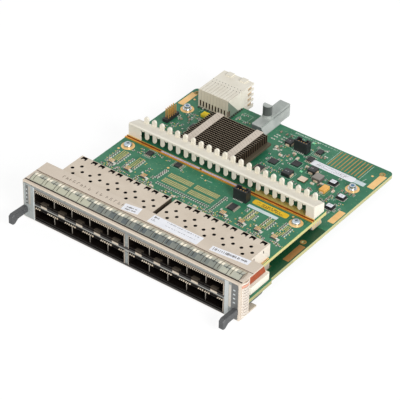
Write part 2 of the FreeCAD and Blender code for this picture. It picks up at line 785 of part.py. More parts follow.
def smallMainParts():
    # Each spot holds middle x and the distance from the board's rear edge.
    z = (mainTop, mainTop + 0.8)
    spots = ((-36.0, 23.2), (-33.5, 23.2), (-31.0, 23.2), (-28.0, 20.2), (-3.8, 7.6), (1.0, 7.8),
             (4.6, 7.4), (-60.0, 34.7), (-62.5, 32.2), (-65.0, 37.2), (-49.5, 35.7), (-49.5, 43.7),
             (15.5, 26.7), (18.2, 24.2), (33.6, 15.4), (35.8, 14.6), (49.0, 41.6), (59.1, 39.7),
             (62.0, 48.2), (62.0, 52.2), (59.5, 55.7), (64.5, 37.2), (63.5, 63.7), (56.0, 63.2),
             (52.0, 54.2), (47.5, 48.7), (44.0, 52.2), (33.0, 51.7), (36.0, 55.2), (20.5, 54.7),
             (15.0, 57.2), (5.5, 24.7), (5.5, 21.2), (67.5, 37.4), (72.9, 36.6), (70.2, 37.2))
    return [block(around(x, 1.0), around(mainRear - back, 1.9), z) for x, back in spots]


def main():
    save("faceplate", [makeFaceplate()])
    save("faceplate_overlay", [makeOverlay()])
    top = longGasket()
    save("gasket_top", [top])
    save("gasket_bottom", [top.mirror(vec(0, 0, faceHeight / 2), vec(0, 0, 1))])
    save("gasket_sides", [sideGasket(-1), sideGasket(1)])
    save("handle_left", [makePull(-1)])
    save("handle_right", [makePull(1)])
    save("handle_screws", makePullScrews())
    makers = (("cage_cover", lambda m: [cageCover(m)]), ("cage_floor", lambda m: [cageFloor(m)]),
              ("cage_dividers", cageDividers), ("cage_springs", cageSprings),
              ("port_connectors", portConnectors))
    for place, middle in zip(("left", "right"), groupMids):
        for name, maker in makers:
            solids = maker(middle)
            save(name + "_upper_" + place, solids)
            save(name + "_lower_" + place, [belowBoard(solid) for solid in solids])
    save("upper_board", [makeUpperBoard()])
    save("main_board", [makeMainBoard()])
    save("board_standoffs", makeStandoffs())
    save("upper_screws", [panScrew(x, upperScrewY, upperTop, boardThick + 3.0)
                          for x in (-upperScrewX, upperScrewX)])
    save("main_screws", [collarScrew(x, y) for x, y in mainScrews])
    save("comb_guide", [makeComb()])
    save("ground_strip", [makeGroundStrip()])
    save("strip_gasket", [makeStripGasket()])
    save("processor", [makePackage()])
    save("heat_sink", [makeSink()])
    save("heat_sink_bands", makeBands())
    save("rear_wafers", makeWafers())
    save("rear_housing", [makeHousing()])
    save("rear_contacts", makeContacts())
    save("guide_block", [makeGuide()])
    save("flex_connector", [makeFlexConnector()])
    save("flex_strip", [makeFlexStrip()])
    save("edge_supports", makeEdgeSupports())
    save("shrouds", [shroud(mainShroudX, mainShroudY, mainTop),
                     shroud(upperShroudX, upperShroudY, upperTop)])
    save("shroud_pins", makeShroudPins())
    save("pin_header", [block(headerX, headerY, (mainTop, mainTop + 2.5))])
    save("pin_header_pins", pinGrid(headerX, headerY, 2, 5, (mainTop + 2.5, mainTop + 9.6)))
    save("chips_small", makeSmallChips())
    save("chips_socketed", makeSocketedChips())
    save("power_inductors", makeInductors())
    save("grey_inductor", [chip(45.5, mainRear - 36.7, 5.9, 5.9, mainTop, 3.2)])
    save("crystal", [chip(37.8, mainRear - 43.0, 5.4, 5.0, mainTop, 1.2)])
    save("tantalum", [chip(55.2, mainRear - 43.9, 4.1, 6.6, mainTop, 2.7)])
    save("film_capacitor", [chip(-54.2, mainRear - 24.1, 5.6, 4.4, mainTop, 2.2)])
    save("resistor_networks", resistorNetworks())
    save("small_parts_upper", smallUpperParts())
    save("small_parts_main", smallMainParts())


main()
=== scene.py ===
import math
import random
import bpy
import bmesh
from mathutils import Matrix, Vector


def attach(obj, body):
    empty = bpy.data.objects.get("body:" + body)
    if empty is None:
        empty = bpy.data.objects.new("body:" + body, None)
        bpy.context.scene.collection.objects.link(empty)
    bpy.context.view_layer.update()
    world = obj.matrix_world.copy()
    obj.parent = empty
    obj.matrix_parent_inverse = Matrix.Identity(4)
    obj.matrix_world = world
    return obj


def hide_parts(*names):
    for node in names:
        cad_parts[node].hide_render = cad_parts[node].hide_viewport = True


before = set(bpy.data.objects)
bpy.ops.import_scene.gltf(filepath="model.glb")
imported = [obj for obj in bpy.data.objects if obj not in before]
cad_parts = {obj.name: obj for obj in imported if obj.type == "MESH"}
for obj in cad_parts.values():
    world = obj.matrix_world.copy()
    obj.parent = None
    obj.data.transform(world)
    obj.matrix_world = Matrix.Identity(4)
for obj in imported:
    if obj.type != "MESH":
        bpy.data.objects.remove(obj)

bpy.context.view_layer.update()

mm = 0.001
rowShift = (0.0, -88.35, 1.5)  # from the drawing's millimetres to the frame
upperTop = 15.1  # top of the small board
mainTop = 6.8  # top of the large board
sink = 0.02  # how far pads and prints start inside what carries them
onUpper, onMain = upperTop - sink, mainTop - sink


def spot(x, y, z):
    return Vector(((x + rowShift[0]) * mm, (y + rowShift[1]) * mm, (z + rowShift[2]) * mm))


def tone(red, green, blue):
    def linear(value):
        share = value / 255
        return share / 12.92 if share <= 0.04045 else ((share + 0.055) / 1.055) ** 2.4
    return (linear(red), linear(green), linear(blue), 1.0)


# node helpers
def feed(tree, node, values):
    # Sets or links each input, which is given by its name or number.
    for label, value in values.items():
        if isinstance(value, (int, float, tuple)):
            node.inputs[label].default_value = value
        else:
            tree.links.new(value, node.inputs[label])
    return node


def addNode(tree, kind, values):
    return feed(tree, tree.nodes.new("ShaderNode" + kind), values)


def mathNode(tree, operation, *values):
    node = tree.nodes.new("ShaderNodeMath")
    node.operation = operation
    return feed(tree, node, dict(enumerate(values))).outputs[0]


def mixColour(tree, factor, first, second, blend="MIX"):
    node = tree.nodes.new("ShaderNodeMix")
    node.data_type = "RGBA"
    node.blend_type = blend
    return feed(tree, node, {0: factor, 6: first, 7: second}).outputs[2]


def mapRange(tree, value, span, floor=0.0):
    return addNode(tree, "MapRange", {"Value": value, "From Min": span[0], "From Max": span[1],
                                      "To Min": floor}).outputs[0]


# shader groups used by more than one finish
def nodeSockets(kind, *labels):
    return [(label, "NodeSocket" + kind) for label in labels]


def newGroup(name, inputs, outputs):
    group = bpy.data.node_groups.new(name, "ShaderNodeTree")
    for entries, way in ((inputs, "INPUT"), (outputs, "OUTPUT")):
        for label, kind in entries:
            group.interface.new_socket(name=label, in_out=way, socket_type=kind)
    return group, group.nodes.new("NodeGroupInput").outputs, group.nodes.new("NodeGroupOutput")


def useGroup(tree, group, values):
    node = tree.nodes.new("ShaderNodeGroup")
    node.node_tree = group
    return feed(tree, node, values).outputs


variation = {"cloudDetail": 3.0, "cloudSpan": (0.35, 0.65), "cloudShare": 0.6,
             "grainDetail": 2.0, "grainSpan": (0.3, 0.7), "grainFloor": 0.35, "grainShare": 0.4}


def buildVariation():
    floats = ("Cloud Scale", "Cloud Amount", "Grain Scale", "Grain Amount", "Rough Low", "Rough High")
    group, given, end = newGroup(
        "surfaceVariation",
        nodeSockets("Vector", "Vector") + nodeSockets("Color", "Base", "Second")
        + nodeSockets("Float", *floats),
        nodeSockets("Color", "Color") + nodeSockets("Float", "Roughness", "Height"))
    cloud = addNode(group, "TexNoise", {"Vector": given["Vector"], "Scale": given["Cloud Scale"],
                                        "Detail": variation["cloudDetail"]}).outputs["Fac"]
    grain = addNode(group, "TexNoise", {"Vector": given["Vector"], "Scale": given["Grain Scale"],
                                        "Detail": variation["grainDetail"]}).outputs["Fac"]
    wide = mapRange(group, cloud, variation["cloudSpan"])
    blended = mixColour(group, mathNode(group, "MULTIPLY", wide, given["Cloud Amount"]),
                        given["Base"], given["Second"])
    speck = mapRange(group, grain, variation["grainSpan"], variation["grainFloor"])
    coloured = mixColour(group, given["Grain Amount"], blended, speck, "MULTIPLY")
    mixed = mathNode(group, "MULTIPLY_ADD", wide, variation["cloudShare"],
                     mathNode(group, "MULTIPLY", grain, variation["grainShare"]))
    span = mathNode(group, "SUBTRACT", given["Rough High"], given["Rough Low"])
    rough = mathNode(group, "MULTIPLY_ADD", span, mixed, given["Rough Low"])
    feed(group, end, {"Color": coloured, "Roughness": rough, "Height": grain})
    return group


tracks = {"patchScale": 0.11, "alongShare": 0.5, "patchShare": 0.45, "linesPerMm": 1.15, "lineShare": 0.42,
          "lineAmount": 0.5, "holeScale": 0.42, "holeRadius": 0.14, "holeAmount": 0.75}


def buildTracks():
    # Faint runs of parallel lines in patches, and small plated holes, as on a routed board.
    group, given, end = newGroup(
        "boardTracks", nodeSockets("Vector", "Vector") + nodeSockets("Color", "Color", "Line", "Hole"),
        nodeSockets("Color", "Color") + nodeSockets("Float", "Height"))
    patch = addNode(group, "TexVoronoi", {"Vector": given["Vector"], "Scale": tracks["patchScale"]})
    patch.distance = "CHEBYCHEV"
    shares = addNode(group, "SeparateColor", {0: patch.outputs["Color"]}).outputs
    x, y, z = addNode(group, "SeparateXYZ", {0: given["Vector"]}).outputs
    alongX = mathNode(group, "GREATER_THAN", shares[0], tracks["alongShare"])
    across = mathNode(group, "MULTIPLY_ADD", alongX, mathNode(group, "SUBTRACT", x, y), y)
    steps = mathNode(group, "FRACT", mathNode(group, "MULTIPLY", across, tracks["linesPerMm"]))
    shown = mathNode(group, "MULTIPLY", mathNode(group, "LESS_THAN", steps, tracks["lineShare"]),
                     mathNode(group, "GREATER_THAN", shares[1], tracks["patchShare"]))
    lined = mixColour(group, mathNode(group, "MULTIPLY", shown, tracks["lineAmount"]),
                      given["Color"], given["Line"])
    holes = addNode(group, "TexVoronoi", {"Vector": given["Vector"], "Scale": tracks["holeScale"]}).outputs
    dots = mathNode(group, "LESS_THAN", holes["Distance"], tracks["holeRadius"])
    dotted = mixColour(group, mathNode(group, "MULTIPLY", dots, tracks["holeAmount"]), lined, given["Hole"])
    feed(group, end, {"Color": dotted, "Height": mathNode(group, "ADD", shown, dots)})
    return group


variationGroup = buildVariation()
tracksGroup = buildTracks()


# materials
def zoneMask(tree, parts, area):
    # One where the point lies inside the given spans, in the drawing's millimetres.
    def along(axis):
        return parts["xyz".index(axis)]
    tests = []
    for axis in "xyz":
        if axis in area:
            low, high = area[axis]
            tests.append(mathNode(tree, "COMPARE", along(axis), (low + high) / 2, (high - low) / 2))
    if "under" in area:
        first, second, factor, limit = area["under"]
        tests.append(mathNode(tree, "LESS_THAN",
                              mathNode(tree, "MULTIPLY_ADD", along(second), factor, along(first)), limit))
    if "repeat" in area:
        axis, start, pitch, share = area["repeat"]
        steps = mathNode(tree, "DIVIDE", mathNode(tree, "SUBTRACT", along(axis), start), pitch)
        tests.append(mathNode(tree, "LESS_THAN", mathNode(tree, "FRACT", steps), share))
    mask = tests[0]
    for test in tests[1:]:
        mask = mathNode(tree, "MULTIPLY", mask, test)
    return mathNode(tree, "MULTIPLY", mask, area["amount"])


# what a finish has unless it says otherwise; clouds and grain are per millimetre
usual = {"rough": (0.4, 0.55), "cloud": 0.15, "cloudAmount": 0.7, "grain": 3.0, "grainAmount": 0.2,
         "bump": 0.15, "bumpDepth": 0.05, "metallic": 0.0, "coat": 0.0, "coatRough": 0.15, "shine": 0.5,
         "zones": []}


def finish(base, second, **more):
    return {**usual, "base": base, "second": second, **more}


def zone(colour, amount=1.0, **more):
    return {"tone": colour, "amount": amount, **more}


def onTop(colour, amount, **more):
    # A zone on the finger stock that lies on the front plate's top.
    return zone(colour, amount, z=(28.05, 31.5), **more)


def newMaterial(name, look):
    material = bpy.data.materials.new(name)
    material.use_nodes = True
    tree = material.node_tree
    place = tree.nodes.new("ShaderNodeTexCoord").outputs["Object"]
    vector = addNode(tree, "Mapping", {"Vector": place, "Scale": (1 / mm,) * 3,
                                       "Location": tuple(-value for value in rowShift)}).outputs[0]
    stretched = vector
    if "stretch" in look:
        stretched = addNode(tree, "Mapping", {"Vector": vector, "Scale": look["stretch"]}).outputs[0]
    low, high = look["rough"]
    varied = useGroup(tree, variationGroup, {
        "Vector": stretched, "Base": tone(*look["base"]), "Second": tone(*look["second"]),
        "Cloud Scale": look["cloud"], "Cloud Amount": look["cloudAmount"],
        "Grain Scale": look["grain"], "Grain Amount": look["grainAmount"],
        "Rough Low": low, "Rough High": high})
    colour, height = varied["Color"], varied["Height"]
    if "tracks" in look:
        line, hole = look["tracks"]
        lined = useGroup(tree, tracksGroup, {"Vector": vector, "Color": colour, "Line": tone(*line),
                                             "Hole": tone(*hole)})
        colour, height = lined["Color"], lined["Height"]
    if look["zones"]:
        parts = addNode(tree, "SeparateXYZ", {0: vector}).outputs
        for area in look["zones"]:
            colour = mixColour(tree, zoneMask(tree, parts, area), colour, tone(*area["tone"]))
    bump = addNode(tree, "Bump", {"Strength": look["bump"], "Distance": look["bumpDepth"] * mm,
                                  "Height": height})
    feed(tree, tree.nodes["Principled BSDF"], {
        "Base Color": colour, "Roughness": varied["Roughness"], "Normal": bump.outputs[0],
        "Metallic": look["metallic"], "Specular IOR Level": look["shine"], "Coat Weight": look["coat"],
        "Coat Roughness": look["coatRough"]})
    return material


# painted shade: the near-black tone laid on surfaces inside the ports, where the light does not reach
paintedPortShade = (26, 20, 16)
insideX = ((-73.75, -2.4), (1.25, 72.6))
portPitch = 14.25
groupMids = (-38.075, 36.925)
stripX = (-82.0, 82.0)
portsX = (-74.1, 73.3)
fingerPitch = 4.76
# strengths of the painted dark reflection on each finger's front slope, left to right
fingerReflections = (0.15, 0.5, 0.3, 0.65, 0.45, 0.7, 0.3, 0.6, 0.75, 0.4, 0.65, 0.5, 0.7, 0.35, 0.55, 0.45, 0.6,
                0.3, 0.4, 0.15)
finishes = {
    "sheet_nickel": finish(
        (216, 203, 187), (203, 190, 174), metallic=0.4, rough=(0.36, 0.52), stretch=(0.25, 1.0, 1.0),
        cloud=0.05, grainAmount=0.12,
        zones=[zone((204, 189, 170), 0.8, y=(-0.1, 2.3), z=(27.9, 28.1)),
               # painted shade: dark lines on the plate's top along the front and rear edges of the finger
               # stock
               zone((44, 30, 22), y=(2.0, 3.1), z=(27.9, 28.1)),
               zone((96, 72, 54), y=(13.3, 13.9), z=(27.9, 28.1)),
               # painted shade on the plate's edges inside the port openings
               zone((60, 58, 60), x=(-74.2, 73.0), y=(-0.1, 0.9), z=(2.6, 24.8))]),
    "overlay_film": finish(
        (164, 168, 164), (128, 134, 132), rough=(0.4, 0.6), cloud=0.9, cloudAmount=1.0, grain=1.8,
        grainAmount=0.4, coat=0.1,
        zones=[zone((176, 182, 180), 0.7, x=(-84.4, -75.2), z=(0.9, 26.4)),
               zone((104, 105, 102), x=(-81.4, -79.2), z=(11.4, 25.9)),
               zone((176, 168, 156), x=(-79.0, -77.4), z=(11.4, 25.6)),
               zone((206, 213, 213), x=(-75.2, -74.2), z=(0.4, 26.2)),
               zone((150, 150, 144), 0.9, x=portsX, z=(11.9, 13.5)),
               # painted shadow: a dark line under the strip between the port rows
               zone((40, 34, 28), 0.9, x=portsX, z=(11.4, 11.9)),
               # painted shade: the band above that strip painted as the dark inside of the upper ports
               zone(paintedPortShade, x=portsX, z=(13.5, 15.6)),
               zone((206, 192, 172), x=insideX[0], z=(13.4, 15.6), repeat=("x", -69.0, portPitch, 0.35)),
               zone((206, 192, 172), x=insideX[1], z=(13.4, 15.6), repeat=("x", 6.0, portPitch, 0.35)),
               # painted shade: the lower ports' bottom band painted dark like the port insides
               zone((34, 28, 22), 0.95, x=portsX, z=(0.9, 2.9)),
               zone((200, 188, 170), x=(-84.2, 73.3), z=(0.0, 0.85)),
               zone((126, 127, 124), x=portsX, z=(24.9, 26.4)),
               zone((196, 201, 200), 0.85, x=(73.3, 76.2), z=(0.4, 27.0)),
               zone((200, 192, 180), x=(76.4, 78.2), z=(8.6, 25.2)),
               zone((104, 105, 103), x=(78.3, 84.2), z=(1.0, 27.2)),
               zone((206, 212, 212), x=(-80.9, -80.1), z=(12.6, 24.8), repeat=("z", 12.6, 3.1, 0.34)),
               zone((196, 202, 202), x=(79.6, 81.2), z=(12.2, 24.4), repeat=("z", 12.6, 3.1, 0.3))]),
    "finger_stock": finish(
        (192, 190, 172), (168, 174, 162), metallic=0.6, rough=(0.26, 0.42), cloud=0.2, grain=4.0,
        grainAmount=0.1, bump=0.06,
        # painted reflection: the middle and right of the front band darkened
        zones=[onTop((130, 134, 126), 0.7, x=(-34.0, 66.0), y=(3.0, 8.0)),
               onTop((188, 187, 166), 0.8, x=(-82.0, -34.0), y=(3.0, 7.6))]
              # painted dark blue-grey reflections on the fingers' front slopes
              + [onTop((62, 76, 86), share, x=(-32.6 + i * fingerPitch, -28.1 + i * fingerPitch),
                     y=(3.6, 7.4))
                 for i, share in enumerate(fingerReflections)]
              # painted light and shade on the raised tabs: shaded grey over the band, a painted shadow line
              # along the front, and a painted highlight on each tab
              + [onTop((180, 180, 166), 0.8, x=stripX, y=(7.6, 10.6)),
                 onTop((70, 80, 86), 0.75, x=stripX, y=(7.2, 8.0),
                       repeat=("x", -76.2, 2 * fingerPitch, 0.5)),
                 onTop((250, 241, 220), 0.95, x=stripX, y=(7.9, 10.6),
                       repeat=("x", -80.4, 2 * fingerPitch, 0.4)),
                 onTop((200, 188, 164), 0.85, x=stripX, y=(10.4, 14.0)),
                 # painted shade in the slits between the rear fingers
                 onTop((104, 88, 68), 0.8, x=stripX, y=(10.8, 12.9),
                       repeat=("x", -80.9, fingerPitch / 4, 0.3)),
                 # painted shade in the gaps between the tiles
                 onTop((50, 46, 40), 0.9, x=stripX, y=(3.0, 8.6),
                       repeat=("x", -81.1, 2 * fingerPitch, 0.045)),
                 # painted light: the finger stock's right end painted bright, as lit from the right
                 zone((242, 232, 220), 0.9, x=(83.9, 86.2)),
                 # painted shade in the gaps on the right end
                 zone((128, 94, 74), 0.8, x=(84.2, 86.2), z=(1.5, 25.5), repeat=("z", 1.2, 2.1, 0.12)),
                 # painted reflection: a reddish reflection along the top of the right end
                 zone((232, 150, 118), 0.75, x=(83.6, 86.2), z=(23.4, 25.6))]),
    "pull_plastic": finish((79, 80, 81), (66, 67, 69), rough=(0.42, 0.6), grain=5.0, bump=0.3),
    "screw_steel": finish(
        (214, 218, 220), (164, 176, 186), metallic=0.9, rough=(0.14, 0.3), cloud=0.5, grain=4.0,
        grainAmount=0.1, bump=0.05,
        # painted reflection: a pale blue band on the screws
        zones=[zone((170, 200, 216), 0.3, z=(17.2, 17.5))]),
    "cage_metal": finish(
        (218, 205, 188), (206, 192, 174), metallic=0.4, rough=(0.38, 0.52), cloud=0.08, grain=3.2,
        grainAmount=0.18, bump=0.08,
        # painted shade on the cage walls inside the ports
        zones=[zone(paintedPortShade, x=span, y=(-0.6, 46.55), z=(2.1, 24.72)) for span in insideX]
              + [zone((172, 164, 152), x=span, y=(1.4, 1.75), z=level)
                 for span in ((-72.0, -4.0), (3.0, 71.0)) for level in ((3.2, 11.6), (15.9, 24.4))]
              # painted shade on the tongues, so that they fade into the dark port insides
              + [zone((98, 88, 76), x=span, y=(-0.6, 2.4), z=(14.9, 16.9),
                      repeat=("x", start, portPitch, 0.35))
                 for span, start in ((insideX[0], -69.07), (insideX[1], 5.93))]
              # painted shade in the gap between the two cage groups
              + [zone((70, 54, 38), 0.9, x=(-2.2, 1.05), y=(3.0, 46.9), z=(15.0, 24.7)),
                 # painted light: the right side of the upper cage painted brighter, as lit from the right
                 zone((228, 219, 205), x=(72.65, 74.0), y=(2.0, 46.9), z=(15.1, 24.9))]),
    "spring_metal": finish(
        (232, 217, 194), (208, 190, 166), metallic=0.25, rough=(0.34, 0.5), grain=4.0, grainAmount=0.12,
        bump=0.05,
        # painted shade on the springs inside the ports, darkest at the bottoms of the rows
        zones=[zone((52, 40, 30), y=(1.15, 9.5), z=(2.0, 25.0)), zone((26, 21, 17), z=(2.0, 5.4)),
               zone((32, 26, 21), z=(15.0, 17.6))]
              # painted shade in the gaps between the spring fingers
              + [zone((40, 31, 24), x=insideX[i], z=(22.6, 25.0),
                      repeat=("x", groupMids[i] - 0.34, 1.35, 0.5)) for i in (0, 1)]
              # painted shade in narrow gaps of the lower springs
              + [zone((40, 31, 24), x=insideX[i], z=(9.0, 12.4),
                      repeat=("x", groupMids[i] + shift - 0.32, portPitch, 0.045)) for i in (0, 1)
                 for shift in (-5.449, -4.099, 4.099, 5.449)]),
    "black_plastic": finish(
        (38, 39, 41), (28, 29, 31), rough=(0.36, 0.54), grain=4.0, grainAmount=0.25, bump=0.2,
        # painted shade on the black plastic inside the ports
        zones=[zone((12, 10, 9), y=(0.0, 46.0), z=(2.0, 25.0))]),
    "board_green": finish(
        (44, 119, 87), (28, 99, 68), cloud=0.09, grain=2.6, grainAmount=0.22, coat=0.08, shine=0.4, bump=0.12,
        tracks=((72, 130, 98), (128, 158, 112)),
        zones=[zone((206, 196, 136), z=(11.5, 14.95)), zone((160, 172, 90), z=(14.55, 14.95)),
               zone((184, 172, 96), 0.7, z=(13.0, 13.2)), zone((184, 178, 126), z=(4.15, 6.65)),
               # the first zone here is painted shade on the front part of the large board's edge
               zone((156, 152, 100), y=(1.0, 62.0), z=(4.15, 6.65)), zone((150, 138, 92), 0.7, z=(5.2, 5.4)),
               # painted shade on the large board under the small board
               zone((0, 58, 30), 0.92, x=(-79.95, 79.95), y=(1.2, 98.0), z=(6.7, 6.9))]),
    "ivory_plastic": finish(
        (234, 229, 215), (222, 215, 199), rough=(0.42, 0.56), cloud=0.1, grainAmount=0.1, bump=0.1,
        # painted shade in the slots along the bottom of the connector's front
        zones=[zone((92, 74, 56), 0.85, x=(-66.0, -40.7), y=(158.0, 161.6), z=(7.6, 12.4),
                    repeat=("x", -64.8, 2.5, 0.5)),
               zone((158, 148, 128), 0.8, x=(-66.0, -41.0), y=(159.0, 171.0), z=(20.2, 20.7),
                    repeat=("x", -66.5, 2.5, 0.09)),
               zone((150, 140, 118), 0.7, x=(-66.0, -41.0), y=(157.9, 158.2), z=(12.4, 20.7),
                    repeat=("x", -66.5, 2.5, 0.12)),
               # painted shade: the connector's front face darker than its lit top
               zone((196, 184, 158), 0.6, x=(-66.5, -40.5), y=(158.0, 159.4), z=(6.8, 20.7)),
               zone((78, 104, 88), 0.85, x=(-41.0, -40.6), y=(158.4, 174.0), z=(6.6, 20.2),
                    under=("z", "y", 1.1, 195.2))]),
    "copper_gold": finish(
        (232, 184, 108), (216, 160, 86), metallic=0.5, rough=(0.28, 0.42), grainAmount=0.15, bump=0.08,
        zones=[zone((150, 70, 26), y=(91.05, 92.35), z=(15.2, 16.2)),
               zone((232, 160, 64), y=(90.1, 91.05), z=(15.2, 16.2)),
               zone((222, 184, 96), y=(92.35, 93.3), z=(15.2, 16.2))]),
    "gasket_grey": finish(
        (206, 198, 214), (180, 168, 186), rough=(0.5, 0.7), grainAmount=0.25,
        zones=[zone((128, 58, 40), x=(-48.5, 16.5), z=(15.0, 15.98)),
               zone((20, 16, 16), x=(-13.9, -12.3), z=(15.9, 16.6))]),
    "package_green": finish(
        (44, 84, 58), (34, 70, 48), rough=(0.4, 0.5),
        zones=[zone((150, 132, 104), z=(8.1, 9.7))]),
    "sink_black": finish(
        (30, 23, 18), (20, 15, 12), metallic=0.2, rough=(0.42, 0.58), grainAmount=0.25, shine=0.35,
        # painted highlights: pale lit crests on the fin tops, and lighter lit fin ends on the right face
        zones=[zone((146, 132, 112), z=(16.92, 17.1)), zone((98, 82, 64), x=(-1.05, -0.8), z=(11.5, 16.95)),
               zone((84, 76, 60), x=(-1.0, 2.2), z=(9.5, 11.5))]),
    "band_pale": finish((210, 198, 184), (198, 186, 170), metallic=0.2, rough=(0.42, 0.56), grainAmount=0.15),
    "die_cast": finish(
        (182, 187, 182), (154, 161, 157), metallic=0.3, rough=(0.42, 0.6), cloud=0.12, grain=2.5,
        grainAmount=0.25, bump=0.35,
        # painted shade on the guide's post and on its front face
        zones=[zone((66, 70, 68), 0.85, x=(-21.0, -14.0), y=(165.0, 172.8), z=(14.4, 21.5)),
               zone((92, 98, 98), 0.7, x=(-21.0, -9.0), y=(157.8, 158.2), z=(6.6, 12.6)),
               zone((58, 60, 60), x=(-13.35, -13.2), z=(11.6, 12.4))]),
    "flex_orange": finish(
        (160, 68, 14), (132, 52, 8), rough=(0.34, 0.5), coat=0.15, grain=2.0, cloud=0.4, grainAmount=0.1,
        zones=[zone((104, 38, 14), 0.8, z=(7.0, 11.4))]),
    "support_dark": finish((98, 100, 96), (74, 76, 74), rough=(0.5, 0.65)),
    "inductor_grey": finish(
        (156, 150, 143), (140, 134, 128), rough=(0.5, 0.65), grainAmount=0.25,
        zones=[zone((88, 84, 80), z=(6.7, 9.2))]),
    "crystal_beige": finish(
        (226, 206, 184), (212, 190, 166), metallic=0.3, rough=(0.3, 0.44), grain=2.0, grainAmount=0.1,
        zones=[zone((98, 74, 48), z=(6.7, 7.7))]),
    "tantalum_orange": finish(
        (240, 184, 100), (226, 162, 74), rough=(0.36, 0.5), grainAmount=0.12,
        zones=[zone((190, 150, 92), z=(6.7, 7.1))]),
    "film_yellow": finish((255, 226, 48), (236, 196, 24), rough=(0.36, 0.5), cloud=0.5, grainAmount=0.15),
    "ceramic_parts": finish(
        (176, 160, 138), (96, 82, 70), cloud=1.2, cloudAmount=1.0, rough=(0.35, 0.5), grain=4.0),
    "network_gold": finish(
        (238, 204, 146), (204, 152, 84), metallic=0.2, rough=(0.3, 0.45), grainAmount=0.15),
    "padGold": finish(
        (248, 204, 138), (238, 186, 112), metallic=0.3, rough=(0.32, 0.44), grainAmount=0.12, bump=0.05,
        # painted shade on the edge pads under the small board
        zones=[zone((140, 94, 46), 0.85, x=(73.0, 80.0), y=(1.0, 78.0), z=(6.7, 6.9))]),
    "padFine": finish(
        (206, 190, 126), (176, 162, 104), metallic=0.3, rough=(0.32, 0.44), cloud=0.5, bump=0.05),
    "tinPlate": finish(
        (230, 229, 220), (196, 192, 178), metallic=0.25, rough=(0.32, 0.46), cloud=0.8, grain=4.0, bump=0.1),
    "legTin": finish(
        (196, 188, 170), (150, 140, 122), metallic=0.3, rough=(0.34, 0.5), cloud=0.9, grain=4.0, bump=0.1),
    "silkWhite": finish(
        (208, 222, 210), (150, 184, 164), cloud=1.5, cloudAmount=1.0, rough=(0.5, 0.6), grain=4.0,
        grainAmount=0.3, bump=0.05),
    "fieldGold": finish(
        (236, 208, 122), (214, 184, 98), metallic=0.2, rough=(0.32, 0.44), cloud=0.5, bump=0.05),
    "partDark": finish((70, 64, 62), (44, 38, 36), cloud=0.8, grain=4.0),
    "partGrey": finish((112, 106, 102), (66, 58, 56), cloud=0.9, grain=4.0),
    "partTan": finish((228, 206, 180), (198, 168, 136), cloud=0.6, grain=4.0),
    "printDark": finish((38, 31, 24), (70, 60, 46), cloud=0.9, rough=(0.5, 0.6), grain=4.0, bump=0.03),
    "printGrey": finish((124, 124, 128), (176, 176, 180), cloud=0.7, rough=(0.5, 0.6), grain=4.0, bump=0.03),
    "stampBrown": finish((104, 86, 70), (84, 68, 54), metallic=0.2, cloud=0.8, grain=4.0, bump=0.03),
    "labelWhite": finish(
        (236, 237, 242), (226, 228, 234), rough=(0.5, 0.6), grain=2.4, grainAmount=0.06, bump=0.04),
    "labelYellow": finish(
        (230, 190, 34), (216, 174, 26), rough=(0.5, 0.6), grain=2.4, grainAmount=0.12, bump=0.04),
    "labelBlue": finish(
        (206, 220, 220), (192, 208, 210), rough=(0.5, 0.6), grain=2.4, grainAmount=0.1, bump=0.04),
    "lampGreen": finish(
        (96, 206, 140), (176, 236, 200), cloud=1.0, rough=(0.2, 0.3), coat=0.6, grain=2.0, grainAmount=0.1,
        bump=0.04),
    # painted reflection: the blue glint in the screws' sockets
    "paintedBlueGlint": finish((40, 112, 154), (26, 80, 120), rough=(0.25, 0.4), coat=0.5, cloud=0.8),
    "trackCopper": finish(
        (188, 148, 84), (160, 122, 66), metallic=0.3, rough=(0.35, 0.5), grainAmount=0.15, bump=0.05),
}
materials = {name: newMaterial(name + "Look", look) for name, look in finishes.items()}
usualSlots = {"copper_gold": ("padGold", "padFine", "fieldGold", "trackCopper"),
              "ivory_plastic": ("silkWhite", "labelWhite", "labelYellow", "labelBlue"),
              "black_plastic": ("printDark", "printGrey"),
              "ceramic_parts": ("partDark", "partGrey", "partTan", "lampGreen"),
              "screw_steel": ("tinPlate", "legTin", "paintedBlueGlint"), "sheet_nickel": ("stampBrown",),
              "sink_black": ("sink_black",), "network_gold": ("network_gold",)}
slotOf = {look: slot for slot, looks in usualSlots.items() for look in looks}

for name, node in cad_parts.items():
    for part in node.material_slots:
        wanted = part.material.name.split(".")[0] if part.material else ""
        if wanted in materials:
            part.material = materials[wanted]
print("CAD nodes dressed:", len(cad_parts))


# modelling helpers
def clearChoice():
    if bpy.context.object and bpy.context.object.mode != "OBJECT":
        bpy.ops.object.mode_set(mode="OBJECT")
    bpy.ops.object.select_all(action="DESELECT")


def chooseFaces(piece, wanted):
    # Selects the faces of the piece in edit mode for which wanted(face) holds.
    mesh = bmesh.from_edit_mesh(piece.data)
    for face in mesh.faces:
        face.select_set(False)
    for face in mesh.faces:
        if wanted(face):
            face.select_set(True)
    mesh.select_flush(True)
    bmesh.update_edit_mesh(piece.data)


def openSheet(width, depth, parts=1):
    # A flat sheet, cut into parts along x, open for editing with all of it chosen.
    clearChoice()
    bpy.ops.mesh.primitive_grid_add(x_subdivisions=parts, y_subdivisions=1, size=mm)
    piece = bpy.context.object
    piece.scale = (width, depth, 1.0)
    bpy.ops.object.transform_apply(location=False, rotation=False, scale=True)
    bpy.ops.object.mode_set(mode="EDIT")
    bpy.ops.mesh.select_all(action="SELECT")
    return piece


def cutMiddle(rim):
    bpy.ops.mesh.inset(thickness=rim * mm, depth=0.0)
    bpy.ops.mesh.delete(type="FACE")


def pullUp(height):
    bpy.ops.mesh.select_all(action="SELECT")
    bpy.ops.mesh.extrude_region_move(TRANSFORM_OT_translate={"value": (0, 0, height * mm)})


def turnOutward():
    bpy.ops.mesh.select_all(action="SELECT")
    bpy.ops.mesh.normals_make_consistent(inside=False)


